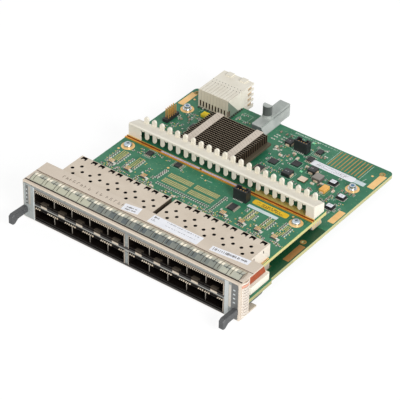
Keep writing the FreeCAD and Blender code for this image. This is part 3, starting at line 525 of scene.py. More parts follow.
def startSlab(width, depth, height, bevel=0.0, corner=0.0):
    # A flat plate drawn as a sheet and pulled up, with its top rim bevelled.
    piece = openSheet(width, depth)
    if corner:
        bpy.ops.mesh.bevel(offset=corner * mm, segments=4, affect="VERTICES")
    pullUp(height)
    if bevel:
        half = height * mm * 0.5
        chooseFaces(piece, lambda face: face.normal.z > 0.9 and face.calc_center_median().z > half)
        bpy.ops.mesh.inset(thickness=bevel * mm, depth=0.0)
        chooseFaces(piece, lambda face: False)
        mesh = bmesh.from_edit_mesh(piece.data)
        rim = [v for v in mesh.verts if v.co.z > half]
        reach = [max(abs(v.co[axis]) for v in rim) - 1e-7 for axis in (0, 1)]
        for v in rim:
            if abs(v.co.x) >= reach[0] or abs(v.co.y) >= reach[1]:
                v.co.z -= bevel * mm
        bmesh.update_edit_mesh(piece.data)
    turnOutward()
    bpy.ops.object.mode_set(mode="OBJECT")
    return piece


def startTile(height, bevel=0.0):
    # A slab one millimetre square, whose places give its size.
    return startSlab(1.0, 1.0, height, bevel)


def startRing(outer, inner, height, sides=40):
    clearChoice()
    bpy.ops.mesh.primitive_circle_add(vertices=sides, radius=outer * mm, fill_type="NGON")
    bpy.ops.object.mode_set(mode="EDIT")
    bpy.ops.mesh.select_all(action="SELECT")
    if inner:
        cutMiddle(outer - inner)
    pullUp(height)
    turnOutward()
    bpy.ops.object.mode_set(mode="OBJECT")
    return bpy.context.object


def startFrame(line, height=0.03):
    # A thin printed outline, one millimetre square: a sheet with its middle taken out, pulled up.
    piece = openSheet(1.0, 1.0)
    cutMiddle(line)
    pullUp(height)
    turnOutward()
    bpy.ops.object.mode_set(mode="OBJECT")
    return piece


def startPart(length, width, height, cap=0.22):
    # A chip part: a slab cut twice, whose ends take the second material.
    piece = startSlab(length, width, height, bevel=height * 0.12)
    inner = length * (0.5 - cap) * mm
    bpy.ops.object.mode_set(mode="EDIT")
    for side in (-1, 1):
        bpy.ops.mesh.select_all(action="SELECT")
        bpy.ops.mesh.bisect(plane_co=(side * inner, 0, 0), plane_no=(1, 0, 0))
    mesh = bmesh.from_edit_mesh(piece.data)
    for face in mesh.faces:
        if abs(face.calc_center_median().x) > inner:
            face.material_index = 1
    bmesh.update_edit_mesh(piece.data)
    bpy.ops.object.mode_set(mode="OBJECT")
    return piece


def startLeg(width, reach, rise):
    # A gull-wing leg: a foot pulled back and up towards the body.
    piece = openSheet(width, reach * 0.5)
    mesh = bmesh.from_edit_mesh(piece.data)
    for edge in mesh.edges:
        edge.select_set(all(v.co.y > 0 for v in edge.verts))
    bmesh.update_edit_mesh(piece.data)
    bpy.ops.mesh.extrude_region_move(TRANSFORM_OT_translate={"value": (0, reach * 0.2 * mm, rise * mm)})
    bpy.ops.mesh.extrude_region_move(TRANSFORM_OT_translate={"value": (0, reach * 0.35 * mm, 0)})
    bpy.ops.object.mode_set(mode="OBJECT")
    solid = piece.modifiers.new("sheet", "SOLIDIFY")
    solid.thickness = 0.15 * mm
    solid.offset = 1.0
    bpy.ops.object.modifier_apply(modifier="sheet")
    return piece


def spread(template, name, places, look, slot=None):
    # Copies of the template at each (x, y, z, turn, scale x, scale y), joined into one piece.
    template.data.materials.append(materials[look])
    if any(face.material_index for face in template.data.polygons):
        template.data.materials.append(materials["tinPlate"])
    made = []
    for place in places:
        x, y, z, turn, sizeX, sizeY = place + (0, 1.0, None)[len(place) - 3:]
        copy = template.copy()
        copy.data = template.data.copy()
        spin = Matrix.Rotation(math.radians(turn), 4, "Z")
        grow = Matrix.Diagonal((sizeX, sizeY or sizeX, 1.0, 1.0))
        copy.data.transform(Matrix.Translation(spot(x, y, z)) @ spin @ grow)
        bpy.context.collection.objects.link(copy)
        made.append(copy)
    bpy.data.objects.remove(template)
    clearChoice()
    for copy in made:
        copy.select_set(True)
    bpy.context.view_layer.objects.active = made[0]
    if len(made) > 1:
        bpy.ops.object.join()
    piece = bpy.context.view_layer.objects.active
    piece.name = name
    piece.data.name = name
    slot = slot or slotOf[look]
    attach(piece, "root")
    return piece


clusterX = [groupMids[group] + step * portPitch + shift
            for group, step, shift in ((0, -2, 3.1), (0, -1, 2.1), (0, 0, 0.8), (1, -1, 2.75), (1, 0, 2.8),
                                       (1, 1, 0.95), (1, 2, -0.7))]


def strokes(left, front, width, depth, level, rows, turn, seed, fill=0.62):
    # Short illegible strokes in rows, for print on labels.
    dice = random.Random(seed)
    cosine, sine = math.cos(math.radians(turn)), math.sin(math.radians(turn))
    found = []
    for row in range(rows):
        across = 0.0
        tall = depth / rows * fill
        y = (row + 0.5) * depth / rows - depth / 2
        while across < width - 0.8:
            wide = dice.uniform(0.22, 0.62)
            high = tall * dice.choice((0.5, 0.8, 1.0))
            x = across + wide / 2 - width / 2
            found.append((left + width / 2 + x * cosine - y * sine, front + depth / 2 + x * sine + y * cosine,
                          level, turn, wide, high))
            across += wide + dice.choice((0.18, 0.26, 0.3, 0.9))
    return found


def printRows(name, look, rows, thick=0.03):
    spread(startTile(thick), name, [stroke for row in rows for stroke in strokes(*row)], look)


def at(level, points):
    # Places on a level, from (x, y) and what spread takes after the level.
    return [(x, y, level, *rest) for x, y, *rest in points]


# pads and rings of both boards; a ring's values are its two radii and its thickness
mainPads = {"edge": [(76.7, 161.0, 0, 4.8, 16.4), (77.0, 114.0, 0, 4.6, 14.2), (77.0, 67.4, 0, 4.4, 18.6),
                     (-76.6, 161.6, 0, 4.6, 16.6)], "edgeThick": 0.06,
            "rings": [(68.3, 145.1), (-69.3, 151.4)], "ring": (4.7, 1.8, 0.08),
            "holes": [(75.0, 170.3), (75.1, 80.0), (-75.8, 170.9)], "hole": (2.1, 1.15, 0.08),
            "marks": [(70.8, 164.8), (-72.4, 163.7), (15.2, 148.8), (20.0, 121.0)],
            "mark": (0.85, 0.0, 0.06, 20)}
upperPads = {"marks": [(-69.7, 78.1, 0, 1.0), (-31.2, 80.9, 0, 1.0), (-9.1, 87.8, 0, 0.7),
                       (-4.2, 84.7, 0, 0.7), (61.4, 88.2, 0, 0.9), (46.0, 64.0, 0, 0.6),
                       (34.4, 64.2, 0, 0.6)],
             "rings": [(-66.5, 83.9), (66.5, 83.9)], "ring": (4.6, 1.8, 0.08),
             "strip": (73.45, 34.6, onUpper, 0, 0.9, 20.6), "stripThick": 0.3, "stripBevel": 0.08,
             "line": (73.45, 36.0, upperTop + 0.26, 0, 0.25, 15.0), "lineThick": 0.05}
spread(startTile(mainPads["edgeThick"]), "boardEdgePads", at(onMain, mainPads["edge"]), "padGold")
spread(startRing(*mainPads["ring"]), "screwRingsMain", at(onMain, mainPads["rings"]), "padGold")
spread(startRing(*mainPads["hole"]), "toolHoleRings", at(onMain, mainPads["holes"]), "trackCopper")
spread(startRing(*mainPads["mark"]), "roundMarks",
       at(onMain, mainPads["marks"]) + at(onUpper, upperPads["marks"]), "padGold")
spread(startRing(*upperPads["ring"]), "screwRingsUpper", at(onUpper, upperPads["rings"]), "padGold")
spread(startTile(upperPads["stripThick"], upperPads["stripBevel"]), "groundStrips", [upperPads["strip"]],
       "padGold")
spread(startTile(upperPads["lineThick"]), "groundStripLines", [upperPads["line"]], "printDark", "copper_gold")
print("pads and rings made")

# the field of fine copper runs near the rear right corner, and the labels
runs = {"count": 10, "first": 40.8, "pitch": 2.6, "middle": 166.25, "size": (0.72, 17.5, 0.05),
        "borders": [(39.4, 166.4), (65.9, 165.4)], "border": (0.35, 17.6, 0.04)}
spread(startSlab(*runs["size"]), "copperRuns",
       [(runs["first"] + i * runs["pitch"], runs["middle"], onMain) for i in range(runs["count"])],
       "trackCopper")
spread(startSlab(*runs["border"]), "runBorders", at(onMain, runs["borders"]), "silkWhite")
slant = -0.7  # the labels' turn in degrees
mainFace, upperFace = mainTop + 0.08, upperTop + 0.08  # the labels' tops, where their print starts
# a label's middle, width, depth, thickness, bevel and corner
labels = {"labelMain": (47.7, 153.5, 33.6, 5.5, 0.12, 0.04, 1.2),
          "labelMainTail": (68.3, 153.4, 8.2, 3.9, 0.08, 0.03),
          "labelUpperYellow": (45.7, 86.1, 26.6, 4.7, 0.12, 0.04, 1.4),
          "labelUpperBlue": (43.5, 80.5, 22.8, 2.8, 0.08, 0.03)}


def makeLabel(name, level, look):
    x, y, *size = labels[name]
    spread(startSlab(*size), name, [(x, y, level, slant)], look)


makeLabel("labelMain", onMain, "labelWhite")
printRows("labelMainPrint", "printGrey",
          [(35.0, 151.6, 23.0, 1.3, mainFace, 2, slant, 3), (36.0, 154.1, 24.5, 1.3, mainFace, 2, slant, 4),
           (35.6, 152.9, 6.0, 1.1, mainFace, 1, slant, 5, 0.9),
           (50.0, 152.9, 9.0, 1.1, mainFace, 1, slant, 6, 0.9)])
makeLabel("labelMainTail", onMain, "labelBlue")
makeLabel("labelUpperYellow", onUpper, "labelYellow")
printRows("labelYellowPrint", "printDark",
          [(39.2, 85.6, 13.8, 1.9, upperFace, 1, slant, 8, 0.95),
           (36.0, 84.2, 12.5, 1.0, upperFace, 2, slant, 9), (50.5, 84.0, 6.0, 1.6, upperFace, 3, slant, 10),
           (35.2, 86.3, 3.4, 1.0, upperFace, 2, slant, 11),
           (39.4, 84.6, 16.0, 1.0, upperFace, 1, slant, 12, 0.9)])
makeLabel("labelUpperBlue", onUpper, "labelBlue")
print("labels made")

# fine pads on the small board: four blocks, and rows of resistors beside them
padBlocks = {"corners": [(-26.3, 73.3, 18.7, 4.6), (-5.4, 73.4, 18.4, 4.4), (-26.4, 66.8, 18.8, 4.9),
                         (-5.6, 66.7, 18.5, 4.9)], "columns": 13, "rows": 3, "pad": (1.04, 1.12, 0.05)}
places = []
for left, front, width, depth in padBlocks["corners"]:
    for i in range(padBlocks["columns"]):
        for j in range(padBlocks["rows"]):
            places.append((left + (i + 0.5) * width / padBlocks["columns"],
                           front + (j + 0.5) * depth / padBlocks["rows"], onUpper))
spread(startSlab(*padBlocks["pad"]), "padBlocks", places, "padFine")
places = [(-27.0 + i * 1.76, 63.7 - i * 0.02, 90) for i in range(24)]
places += [(-29.6 - 0.1 * i, 77.9 - i * 1.72) for i in range(7)]
places += [(-32.4, 67.4 - i * 1.7) for i in range(2)] + [(17.0, 62.2 + i * 1.76) for i in range(10)]
spread(startPart(2.1, 0.74, 0.5, 0.26), "resistorRow", at(upperTop, places), "partGrey")
print("fine pads made")

# the groups of small parts behind each port
minorSize, goldSquare = (1.6, 0.8, 0.5), (0.7, 0.7, 0.06)
networks = {"shift": -0.9, "y": (63.6, 65.4), "pitch": 0.93}
stripes, whites, shades = [], [], []
for x in clusterX:
    for y in networks["y"]:
        for i in range(4):
            stripes.append((x + networks["shift"] + (i - 1.5) * networks["pitch"], y, upperTop, 90))
    whites += at(upperTop,
                 [(x + 1.5, 63.4, 0, 1.3, 1.4), (x + 3.0, 62.6, 0, 1.2, 2.2), (x - 3.6, 66.4, 0, 1.0, 1.6)])
    shades += at(onUpper, [(x + networks["shift"], 64.5, 0, 4.0, 3.6), (x - 0.6, 62.2, 0, 4.4, 0.7)])
networkPieces = spread(startPart(1.5, 0.56, 0.7, 0.12), "networkStripes", stripes, "network_gold")
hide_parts("resistor_networks")
spread(startTile(0.5, bevel=0.1), "networkEnds", whites, "tinPlate", "network_gold")
# dark slabs under the stripes and in front of them: painted shade in the gaps and under the parts
spread(startTile(0.25, bevel=0.05), "networkShades", shades, "partDark")
# columns of grey parts as group, shift, front and rear, and rows of gold dots between them
greyColumns = ((0, -3.9, 62.7, 76.2), (0, 3.6, 64.3, 77.8), (1, -3.9, 63.5, 76.0), (1, 2.6, 66.2, 78.3),
               (2, 6.7, 69.0, 78.4), (4, -4.7, 75.0, 78.6), (4, -0.2, 69.0, 78.6), (4, 3.8, 70.3, 76.0),
               (5, -1.0, 69.8, 78.6), (5, 3.7, 67.4, 77.2), (6, -2.2, 71.3, 80.4), (6, 3.3, 68.0, 77.9))
greyParts = {"pitch": 2.1, "part": (1.7, 0.9, 0.6), "halo": (2.3, 1.5), "haloLine": 0.12}
dotRows = {"groups": (0, 1, 4, 5, 6), "rows": 9, "across": (-1.6, -0.2, 1.1, 2.2), "shift": -0.2,
           "front": 67.6, "pitch": 1.3, "share": 0.9, "side": (-5.6, 5.4), "sideFront": 64.0,
           "sidePitch": 1.5, "sideShare": 0.5}
looseDots = {"groups": (2, 3), "count": 10, "reach": 5.0, "front": 60.5, "depth": 4.0}
dice = random.Random(7)
greys, dots, halos = [], [], []
for group, shift, near, far in greyColumns:
    x = clusterX[group] + shift
    for i in range(int((far - near) / greyParts["pitch"]) + 1):
        y = near + i * greyParts["pitch"]
        greys.append((x, y, upperTop))
        halos.append((x, y, onUpper, 0, *greyParts["halo"]))
for group in dotRows["groups"]:
    x = clusterX[group]
    for i in range(dotRows["rows"]):
        for across in dotRows["across"]:
            if dice.random() < dotRows["share"]:
                dots.append((x + across + dotRows["shift"] * (group > 3),
                             dotRows["front"] + i * dotRows["pitch"], onUpper))
        if dice.random() < dotRows["sideShare"]:
            dots.append((x + dice.choice(dotRows["side"]),
                         dotRows["sideFront"] + i * dotRows["sidePitch"], onUpper))
for group in looseDots["groups"]:
    for i in range(looseDots["count"]):
        x = clusterX[group] + dice.uniform(-looseDots["reach"], looseDots["reach"])
        dots.append((x, looseDots["front"] + dice.uniform(0.0, looseDots["depth"]), onUpper))
greyPieces = spread(startPart(*greyParts["part"]), "smallGreys", greys, "partGrey")
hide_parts("small_parts_upper")
spread(startFrame(greyParts["haloLine"]), "smallGreyHalos", halos, "silkWhite")
spread(startSlab(*goldSquare), "goldDots", dots, "fieldGold")
behindCages = {"perPort": 8, "reach": 6.6, "front": 58.0, "depth": 3.2}
minors = []
for middle in groupMids:
    for step in range(-2, 3):
        for i in range(behindCages["perPort"]):
            x = middle + step * portPitch + dice.uniform(-behindCages["reach"], behindCages["reach"])
            y = behindCages["front"] + behindCages["depth"] * dice.random()
            minors.append((x, y, upperTop, dice.choice((0, 90))))
minors += at(upperTop,
             [(-60.4, 82.0, 70), (-56.3, 82.3, 20), (-56.1, 86.9), (-41.0, 87.4, 90), (-35.3, 87.0, 20),
              (-39.8, 72.4, 60), (-39.8, 69.6, 60), (-54.0, 84.4), (-45.2, 84.6, 90), (-44.0, 88.2),
              (-22.6, 83.6, 90), (18.6, 76.0)])
spread(startPart(*minorSize), "minorPartsUpper", minors, "partGrey")
spots = [(x + dice.choice((-1.7, 1.7)), y + dice.uniform(-0.6, 0.6), onUpper) for x, y, *rest in minors]
spread(startSlab(*goldSquare), "goldSpotsUpper", spots, "fieldGold")
tans = at(upperTop, [(-27.7, 58.6), (7.0, 58.5), (-10.0, 58.1)])
spread(startPart(2.6, 1.4, 0.9), "tanPartsUpper", tans, "partTan")
print("port groups made")

# chips: legs and the prints around them
legs = {"upper": [(-49.7, 85.6, 4.0, 4.4, 0), (-27.5, 86.5, 4.0, 4.2, 90), (26.1, 72.6, 4.6, 6.4, 90)],
        "main": [(29.8, 164.9, 3.9, 4.9, 0), (29.5, 154.6, 3.9, 4.7, 0), (-53.1, 136.8, 3.4, 4.4, 0),
                 (8.5, 126.0, 5.0, 6.0, 90)],
        "size": (0.4, 1.8, 0.5), "out": 0.95, "longFrom": 4.5, "few": (4, 1.2), "many": (7, 0.98)}
places = []
for level, key in ((upperTop, "upper"), (mainTop, "main")):
    for x, y, width, depth, turn in legs[key]:
        along, reach = (width, depth / 2) if turn == 0 else (depth, width / 2)
        count, pitch = legs["few"] if along < legs["longFrom"] else legs["many"]
        for i in range(count):
            step = (i - (count - 1) / 2) * pitch
            for side in (-1, 1):
                out = side * (reach + legs["out"])
                if turn == 0:
                    places.append((x + step, y + out, level, 0 if side < 0 else 180))
                else:
                    places.append((x + out, y + step, level, -90 if side < 0 else 90))
spread(startLeg(*legs["size"]), "chipLegs", places, "legTin")
outlines = at(onUpper, [(-49.7, 85.6, 0, 6.4, 8.6), (-27.5, 86.5, 0, 8.4, 6.2)])
outlines += at(onMain,
               [(29.8, 164.9, 0, 6.4, 9.2), (29.5, 154.8, 0, 6.2, 8.0), (-53.1, 136.8, 0, 5.6, 8.4),
                (11.3, 138.1, 0, 7.4, 7.4), (24.7, 145.2, 0, 7.4, 7.4), (26.8, 132.1, 0, 8.6, 8.2),
                (38.3, 144.7, 0, 8.0, 7.6), (8.6, 161.1, 0, 7.6, 7.2), (55.2, 132.3, 0, 6.0, 9.4),
                (-32.4, 167.6, 0, 7.6, 8.0), (68.6, 139.4, 0, 10.4, 2.8), (19.4, 160.0, 0, 12.6, 8.4)])
spread(startFrame(0.03), "chipOutlines", outlines, "silkWhite")
sockets = {"at": [(55.7, 142.0), (68.4, 132.4), (68.2, 119.4)], "plate": (4.1, 3.3, 0.08, 0.03),
           "plateLevel": 8.88, "printLevel": 8.95, "foot": (0.45, 0.6), "sideFoot": (0.6, 0.45),
           "rows": (-2.75, 2.75), "column": 3.15}
spread(startSlab(*sockets["plate"]), "socketPlates", at(sockets["plateLevel"], sockets["at"]), "labelWhite")
printRows("socketPrint", "printGrey",
          [(x - 1.4, y - 0.9, 2.8, 1.8, sockets["printLevel"], 2, 0, 30 + index, 0.7)
           for index, (x, y) in enumerate(sockets["at"])])
places = []
for x, y in sockets["at"]:
    for i in range(6):
        places += [(x - 2.3 + i * 0.92, y + out, 0, *sockets["foot"]) for out in sockets["rows"]]
    places += [(x + sockets["column"], y - 1.9 + i * 0.95, 0, *sockets["sideFoot"]) for i in range(5)]
spread(startTile(0.35, bevel=0.06), "socketFeet", at(mainTop, places), "tinPlate")
print("chips finished")

# terminals, feet and prints of the larger parts
coils = [(26.6, 132.1, 6.0, 6.2), (38.1, 144.7, 5.4, 5.8), (8.3, 161.1, 4.8, 5.4)]
coilFace = mainTop + 2.78
places = [(x + w / 2 + 0.25, y, 0, 0.7, d * 0.6) for x, y, w, d in coils]
places += [(x, y - d / 2 - 0.25, 0, w * 0.55, 0.7) for x, y, w, d in coils[1:]]
places += [(55.2, 128.8, 0, 2.6, 0.8), (45.5, 136.2, 0, 3.0, 0.6)]
spread(startTile(1.3, bevel=0.15), "terminals", at(mainTop, places), "partTan", "tantalum_orange")
printRows("inductorPrint", "printGrey",
          [(x - 1.6, y - 1.1, 3.2, 2.0, coilFace, 1, 0, 50 + index, 0.8)
           for index, (x, y, w, d) in enumerate(coils)], 0.05)
feet = at(mainTop, [(14.9 + i * 1.36, 156.7, 0, 0.6, 0.9) for i in range(6)])
feet += at(upperTop, [(21.2 + i * 1.1, 80.15, 0, 0.5, 0.8) for i in range(7)])
spread(startTile(0.3, bevel=0.06), "shroudFeet", feet, "tinPlate")
connector = {"left": -64.6, "pitch": 2.5, "rows": 10, "feetY": 157.9, "top": 20.58,
             "dot": (0.34, 0.0, 0.05, 12)}
columns = [connector["left"] + i * connector["pitch"] for i in range(connector["rows"])]
feet = [(x, connector["feetY"], 0, 0.9, 1.4) for x in columns]
feet += [(-40.0, 160.4 + i * 2.2, 0, 1.3, 0.9) for i in range(7)]
spread(startTile(0.8, bevel=0.12), "connectorFeet", at(mainTop, feet), "partDark", "black_plastic")
dots = [(x - 0.6, 175.3) for x in columns] + [(x + 0.5, 172.2) for x in columns]
spread(startRing(*connector["dot"]), "connectorDots", at(connector["top"], dots), "printDark")
feet = [(79.75, 18.4 + i * 1.25, 0, 0.45, 0.6) for i in range(15)]
spread(startTile(0.3), "flexFeet", at(onMain, feet), "partGrey", "screw_steel")
print("larger parts finished")

# the heat sink: wavy fins on the plate, two pale bands with rows of small holes
fins = {"left": -45.9, "right": -0.9, "front": 109.6, "count": 20, "pitch": 2.0, "thick": 0.34, "foot": 11.2,
        "tall": 5.8, "wave": 0.16, "period": 2.2, "segments": 150}
fin = openSheet(fins["right"] - fins["left"], fins["thick"], fins["segments"])
pullUp(fins["tall"])
turnOutward()
mesh = bmesh.from_edit_mesh(fin.data)
for vertex in mesh.verts:
    vertex.co.y += fins["wave"] * mm * math.sin(2 * math.pi * vertex.co.x / mm / fins["period"])
bmesh.update_edit_mesh(fin.data)
bpy.ops.object.mode_set(mode="OBJECT")
middle = (fins["left"] + fins["right"]) / 2
places = [(middle, fins["front"] + i * fins["pitch"]) for i in range(fins["count"])]
wavyFins = spread(fin, "wavyFins", at(fins["foot"], places), "sink_black")
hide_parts("heat_sink")
plate = spread(startSlab(47.8, 40.0, 1.8, bevel=0.15), "sinkPlate", [(-22.0, 128.6, 9.6)], "sink_black")
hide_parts("heat_sink")
bands = {"left": (-41.9, -9.9), "first": 110.2, "pitch": 2.6, "rows": 15, "top": 17.38,
         "hole": (0.2, 0.0, 0.05, 8)}
dots = []
for left in bands["left"]:
    for i in range(bands["rows"]):
        y = bands["first"] + i * bands["pitch"]
        dots += [(left + 1.3, y), (left + 4.1, y + 0.9), (left + 2.7, y + 1.7)]
spread(startRing(*bands["hole"]), "bandHoles", at(bands["top"], dots), "printDark")
print("heat sink made")

# small parts of the large board
darkParts = [(-3.9, 159.0), (-3.8, 162.2), (-3.3, 164.6), (2.0, 159.1), (2.1, 162.2), (2.0, 164.8)]
tinSpots = [(x + across, y) for x, y in darkParts for across in (-0.9, 0.9)]
tinSpots += [(3.4 + i * 0.9, 149.5 + i * 0.45, 60) for i in range(6)]
tinSpots += [(34.7, 163.8), (36.4, 163.4), (33.0, 168.8), (22.7, 173.5), (32.4, 169.4), (17.4, 144.5),
             (17.5, 139.6), (-54.3, 144.9), (-60.4, 145.2), (-57.7, 130.7), (-61.1, 158.1)]
spread(startSlab(1.2, 0.75, 0.35, bevel=0.08), "tinSpots", at(mainTop, tinSpots), "tinPlate")
tans = [(11.0, 146.4), (32.4, 146.5), (45.0, 133.4), (60.4, 134.6, 90), (17.3, 153.4), (22.0, 150.2, 90),
        (3.6, 152.4, 90), (50.2, 136.6)]
spread(startPart(2.6, 1.6, 1.0), "tanParts", at(mainTop, tans), "partTan")
# the boxes that random parts stay out of, as left, front, right and rear
keepOff = [(31, 150, 73, 157.5), (63, 140, 73, 150), (-74.5, 146.5, -64.5, 156), (23, 128.5, 31, 135.7),
           (34.6, 141, 41.6, 148.2), (5, 157.6, 11.5, 164.4), (52.2, 139, 59.2, 145), (65, 129, 72, 136),
           (65, 116, 72, 123), (42, 136, 49, 143), (34, 130, 41.6, 137), (52, 128, 58.2, 136.6),
           (8, 134.8, 14.6, 141.4), (21.4, 141.8, 28, 148.5), (5.4, 122.4, 11.6, 129.6),
           (-56, 133.4, -50.2, 140), (27, 150.8, 32.4, 158.4), (27, 161.2, 32.6, 168.6),
           (13.2, 156, 25, 163.2), (-57.5, 149, -51, 155.4)]
dice = random.Random(21)
minors, halos, gold = [], [], []
areas = [((-70.0, -49.0), (116.0, 149.0), 46), ((-38.0, -24.0), (152.0, 172.0), 9),
         ((3.0, 22.0), (112.0, 131.0), 26), ((4.0, 26.0), (131.0, 156.0), 20),
         ((26.0, 74.0), (110.0, 131.0), 36), ((30.0, 76.0), (131.0, 149.0), 14),
         ((2.0, 38.0), (156.0, 174.0), 6)]
for spanX, spanY, count in areas:
    for i in range(count):
        x, y = dice.uniform(*spanX), dice.uniform(*spanY)
        if any(a < x < c and b < y < d for a, b, c, d in keepOff):
            continue
        turn = dice.choice((0, 90))
        minors.append((x, y, mainTop, turn))
        if i % 2:
            halos.append((x, y, onMain, turn, 2.6, 1.6))
        if i % 3 == 0:
            gold.append((x + 1.9, y + 0.7, onMain))
minors += at(mainTop, [(64.7, 139.0, 90), (67.6, 138.8, 90), (70.1, 139.0, 90), (72.3, 139.8, 90)])
spread(startPart(*minorSize), "minorParts", minors, "partGrey")
spread(startFrame(0.1), "minorHalos", halos, "silkWhite")
spread(startSlab(*goldSquare), "goldSpots", gold, "fieldGold")
printRows("boardPrint", "silkWhite",
          [(4.0, 173.4, 34.0, 1.5, onMain, 1, 0, 61, 0.9), (2.0, 170.2, 12.0, 1.3, onMain, 1, 0, 62, 0.9),
           (3.0, 167.6, 9.0, 1.2, onMain, 1, 0, 63), (-64.0, 157.2, 8.0, 1.2, onMain, 1, 70, 64),
           (60.8, 126.6, 6.4, 2.4, onMain, 2, 0, 65), (66.6, 157.4, 5.0, 1.2, onMain, 1, 78, 66),
           (17.0, 134.4, 8.0, 1.4, onMain, 1, 0, 67), (18.0, 84.5, 4.0, 1.4, onUpper, 1, 0, 68),
           (-9.0, 84.8, 10.0, 1.1, onUpper, 1, 0, 69)], 0.04)
spread(startSlab(1.8, 1.3, 0.7, bevel=0.2), "statusLamps", at(mainTop, [(20.6, 171.3), (31.8, 140.1)]),
       "lampGreen")
# blue discs in the screw centres: painted reflection of the glint in their sockets
spread(startRing(1.12, 0.0, 1.3, 24), "screwCentreGlints", at(mainTop + 1.6, mainPads["rings"]), "paintedBlueGlint")
print("small parts made")

# the fine contact field under the comb and the parts hanging under the upper board's right edge
field = {"left": 27.0, "right": 71.5, "middle": 95.95, "pitch": 0.95, "turn": 28, "width": 0.66, "depth": 4.9}
places = [(field["left"] + i * field["pitch"], field["middle"], field["turn"], field["width"], field["depth"])
          for i in range(int((field["right"] - field["left"]) / field["pitch"]))]
spread(startTile(0.04), "contactField", at(onUpper, places), "fieldGold")
places = [(73.35, front + i * 2.0, level, 90)
          for front, level in ((92.4, 8.5), (91.6, 10.3)) for i in range(5)]
spread(startPart(1.7, 1.5, 1.6), "edgeStack", places, "network_gold", "ceramic_parts")
spread(startSlab(2.6, 11.0, 3.85, bevel=0.1), "edgeStackCore", [(71.7, 96.2, 8.5)], "partDark",
       "black_plastic")
print("contact field made")

# stickers and stamped marks on the front plate's top
stickerFoot, stickerFace = 27.99, 28.07
stickers = {"A": (-11.7, 18.7, 11.9, 6.6, 8.7), "B": (21.9, 18.9, 37.6, 8.0, 0.0),
            "C": (62.9, 19.3, 27.0, 4.7, 5.3)}
for name, (x, y, width, depth, turn) in stickers.items():
    spread(startSlab(width, depth, 0.1, bevel=0.03, corner=0.3), "sticker" + name,
           [(x, y, stickerFoot, turn)], "labelWhite")
printRows("stickerPrint", "printDark",
          [(-15.4, 18.6, 7.8, 1.5, stickerFace, 1, 8.7, 71, 0.9),
           (-15.2, 16.4, 8.2, 1.5, stickerFace, 1, 8.7, 72, 0.9),
           (51.0, 18.0, 24.0, 2.8, stickerFace, 1, 5.3, 73, 0.9),
           (4.6, 20.2, 3.6, 1.8, stickerFace, 1, 0, 74, 0.95)])
printRows("stickerFaintPrint", "printGrey",
          [(14.0, 21.0, 24.5, 1.0, stickerFace, 1, 0, 75, 0.9),
           (15.0, 17.8, 23.0, 0.8, stickerFace, 1, 0, 76, 0.8),
           (4.2, 17.2, 3.6, 2.2, stickerFace, 2, 0, 77, 0.8)])
dice = random.Random(81)
stamps = {"at": (-66, -63.2, -60.6, -57.8, -54.6, -51.6, -48.8, -45.2, -38.9, -36.0, -31.4, -28.4, -25.0,
                 -21.8, -18.8), "line": 0.34, "thick": 0.03}
lines = []
for i, x in enumerate(stamps["at"]):
    lines += [(x, 18.7, 0, stamps["line"], 2.4),
              (x + 0.5, 17.6 + dice.choice((0.0, 1.1, 2.2)), 0, 1.2, stamps["line"])]
    if i % 2:
        lines.append((x + 1.1, 18.1, 0, stamps["line"], 1.3))
spread(startTile(stamps["thick"]), "stampMarks", at(stickerFoot, lines), "stampBrown")
print("stickers made")

# camera, floor and light
view = {"azimuth": 0.6306, "elevation": 0.6424, "roll": 0.0242, "lens": 186.617, "distance": 1292.04,
        "target": (9.8898, 60.0, 20.7205)}
azimuth, elevation = view["azimuth"], view["elevation"]
back = Vector((math.sin(azimuth) * math.cos(elevation), -math.cos(azimuth) * math.cos(elevation),
               math.sin(elevation)))
across = Vector((math.cos(azimuth), math.sin(azimuth), 0.0))
over = back.cross(across)
right = math.cos(view["roll"]) * across + math.sin(view["roll"]) * over
up = math.cos(view["roll"]) * over - math.sin(view["roll"]) * across
cameraData = bpy.data.cameras.new("photoCamera")
camera = bpy.data.objects.new("photoCamera", cameraData)
bpy.context.collection.objects.link(camera)
place = Matrix((right, up, back)).transposed().to_4x4()
place.translation = spot(*view["target"]) + back * view["distance"] * mm
camera.matrix_world = place
cameraData.sensor_width = 36.0
cameraData.lens = view["lens"]
cameraData.clip_start = 0.05
cameraData.clip_end = 20.0
bpy.context.scene.camera = camera


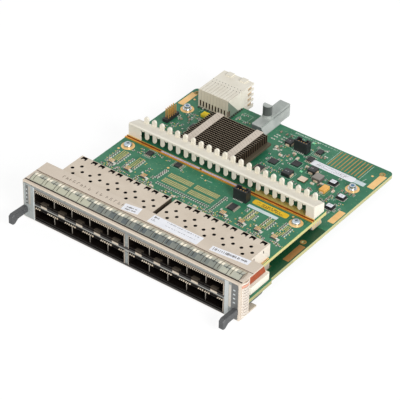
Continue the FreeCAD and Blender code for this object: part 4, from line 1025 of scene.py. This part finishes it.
def seenDirectly(tree):
    # One for rays from the camera and for those that metal or glass sends on.
    rays = tree.nodes.new("ShaderNodeLightPath").outputs
    seen = mathNode(tree, "MAXIMUM", rays["Is Camera Ray"], rays["Is Glossy Ray"])
    return mathNode(tree, "MAXIMUM", seen, rays["Is Transmission Ray"])


studio = {"floorSize": 6.0, "floorLevel": -0.0002, "paper": 0.96, "paperRough": 0.9, "paperShine": 0.1,
          "glow": 1.04, "glowShare": 0.84, "worldSeen": 0.46, "worldLight": 0.54}
white = (1.0, 1.0, 1.0, 1.0)
clearChoice()
bpy.ops.mesh.primitive_plane_add(size=studio["floorSize"], location=(0, 0, studio["floorLevel"]))
floor = bpy.context.object
floor.name = "floor"
floorLook = bpy.data.materials.new("floorPaper")
floorLook.use_nodes = True
tree = floorLook.node_tree
paper = feed(tree, tree.nodes["Principled BSDF"], {
    "Base Color": (studio["paper"],) * 3 + (1.0,), "Roughness": studio["paperRough"],
    "Specular IOR Level": studio["paperShine"]})
glow = addNode(tree, "Emission", {"Color": white, "Strength": studio["glow"]})
share = mathNode(tree, "MULTIPLY", seenDirectly(tree), studio["glowShare"])
blend = addNode(tree, "MixShader", {0: share, 1: paper.outputs[0], 2: glow.outputs[0]})
feed(tree, tree.nodes["Material Output"], {"Surface": blend.outputs[0]})
floor.data.materials.append(floorLook)

world = bpy.data.worlds.new("studio")
bpy.context.scene.world = world
world.use_nodes = True
tree = world.node_tree
strength = mathNode(tree, "MULTIPLY_ADD", seenDirectly(tree), studio["worldSeen"], studio["worldLight"])
feed(tree, tree.nodes["Background"], {"Color": white, "Strength": strength})

lamps = {"key": {"at": (1.3, -0.55, 0.8), "size": 0.7, "power": 22.0},
         "fill": {"at": (-0.5, -1.2, 0.9), "size": 1.0, "power": 3.0}}
for name, values in lamps.items():
    lampData = bpy.data.lights.new(name, "AREA")
    lampData.size = values["size"]
    lampData.energy = values["power"]
    lamp = bpy.data.objects.new(name, lampData)
    bpy.context.collection.objects.link(lamp)
    lamp.location = values["at"]
    lamp.rotation_euler = (-Vector(values["at"])).to_track_quat("-Z", "Y").to_euler()
bpy.context.scene.view_settings.view_transform = "Standard"
print("camera, floor and light set")

bpy.context.view_layer.update()
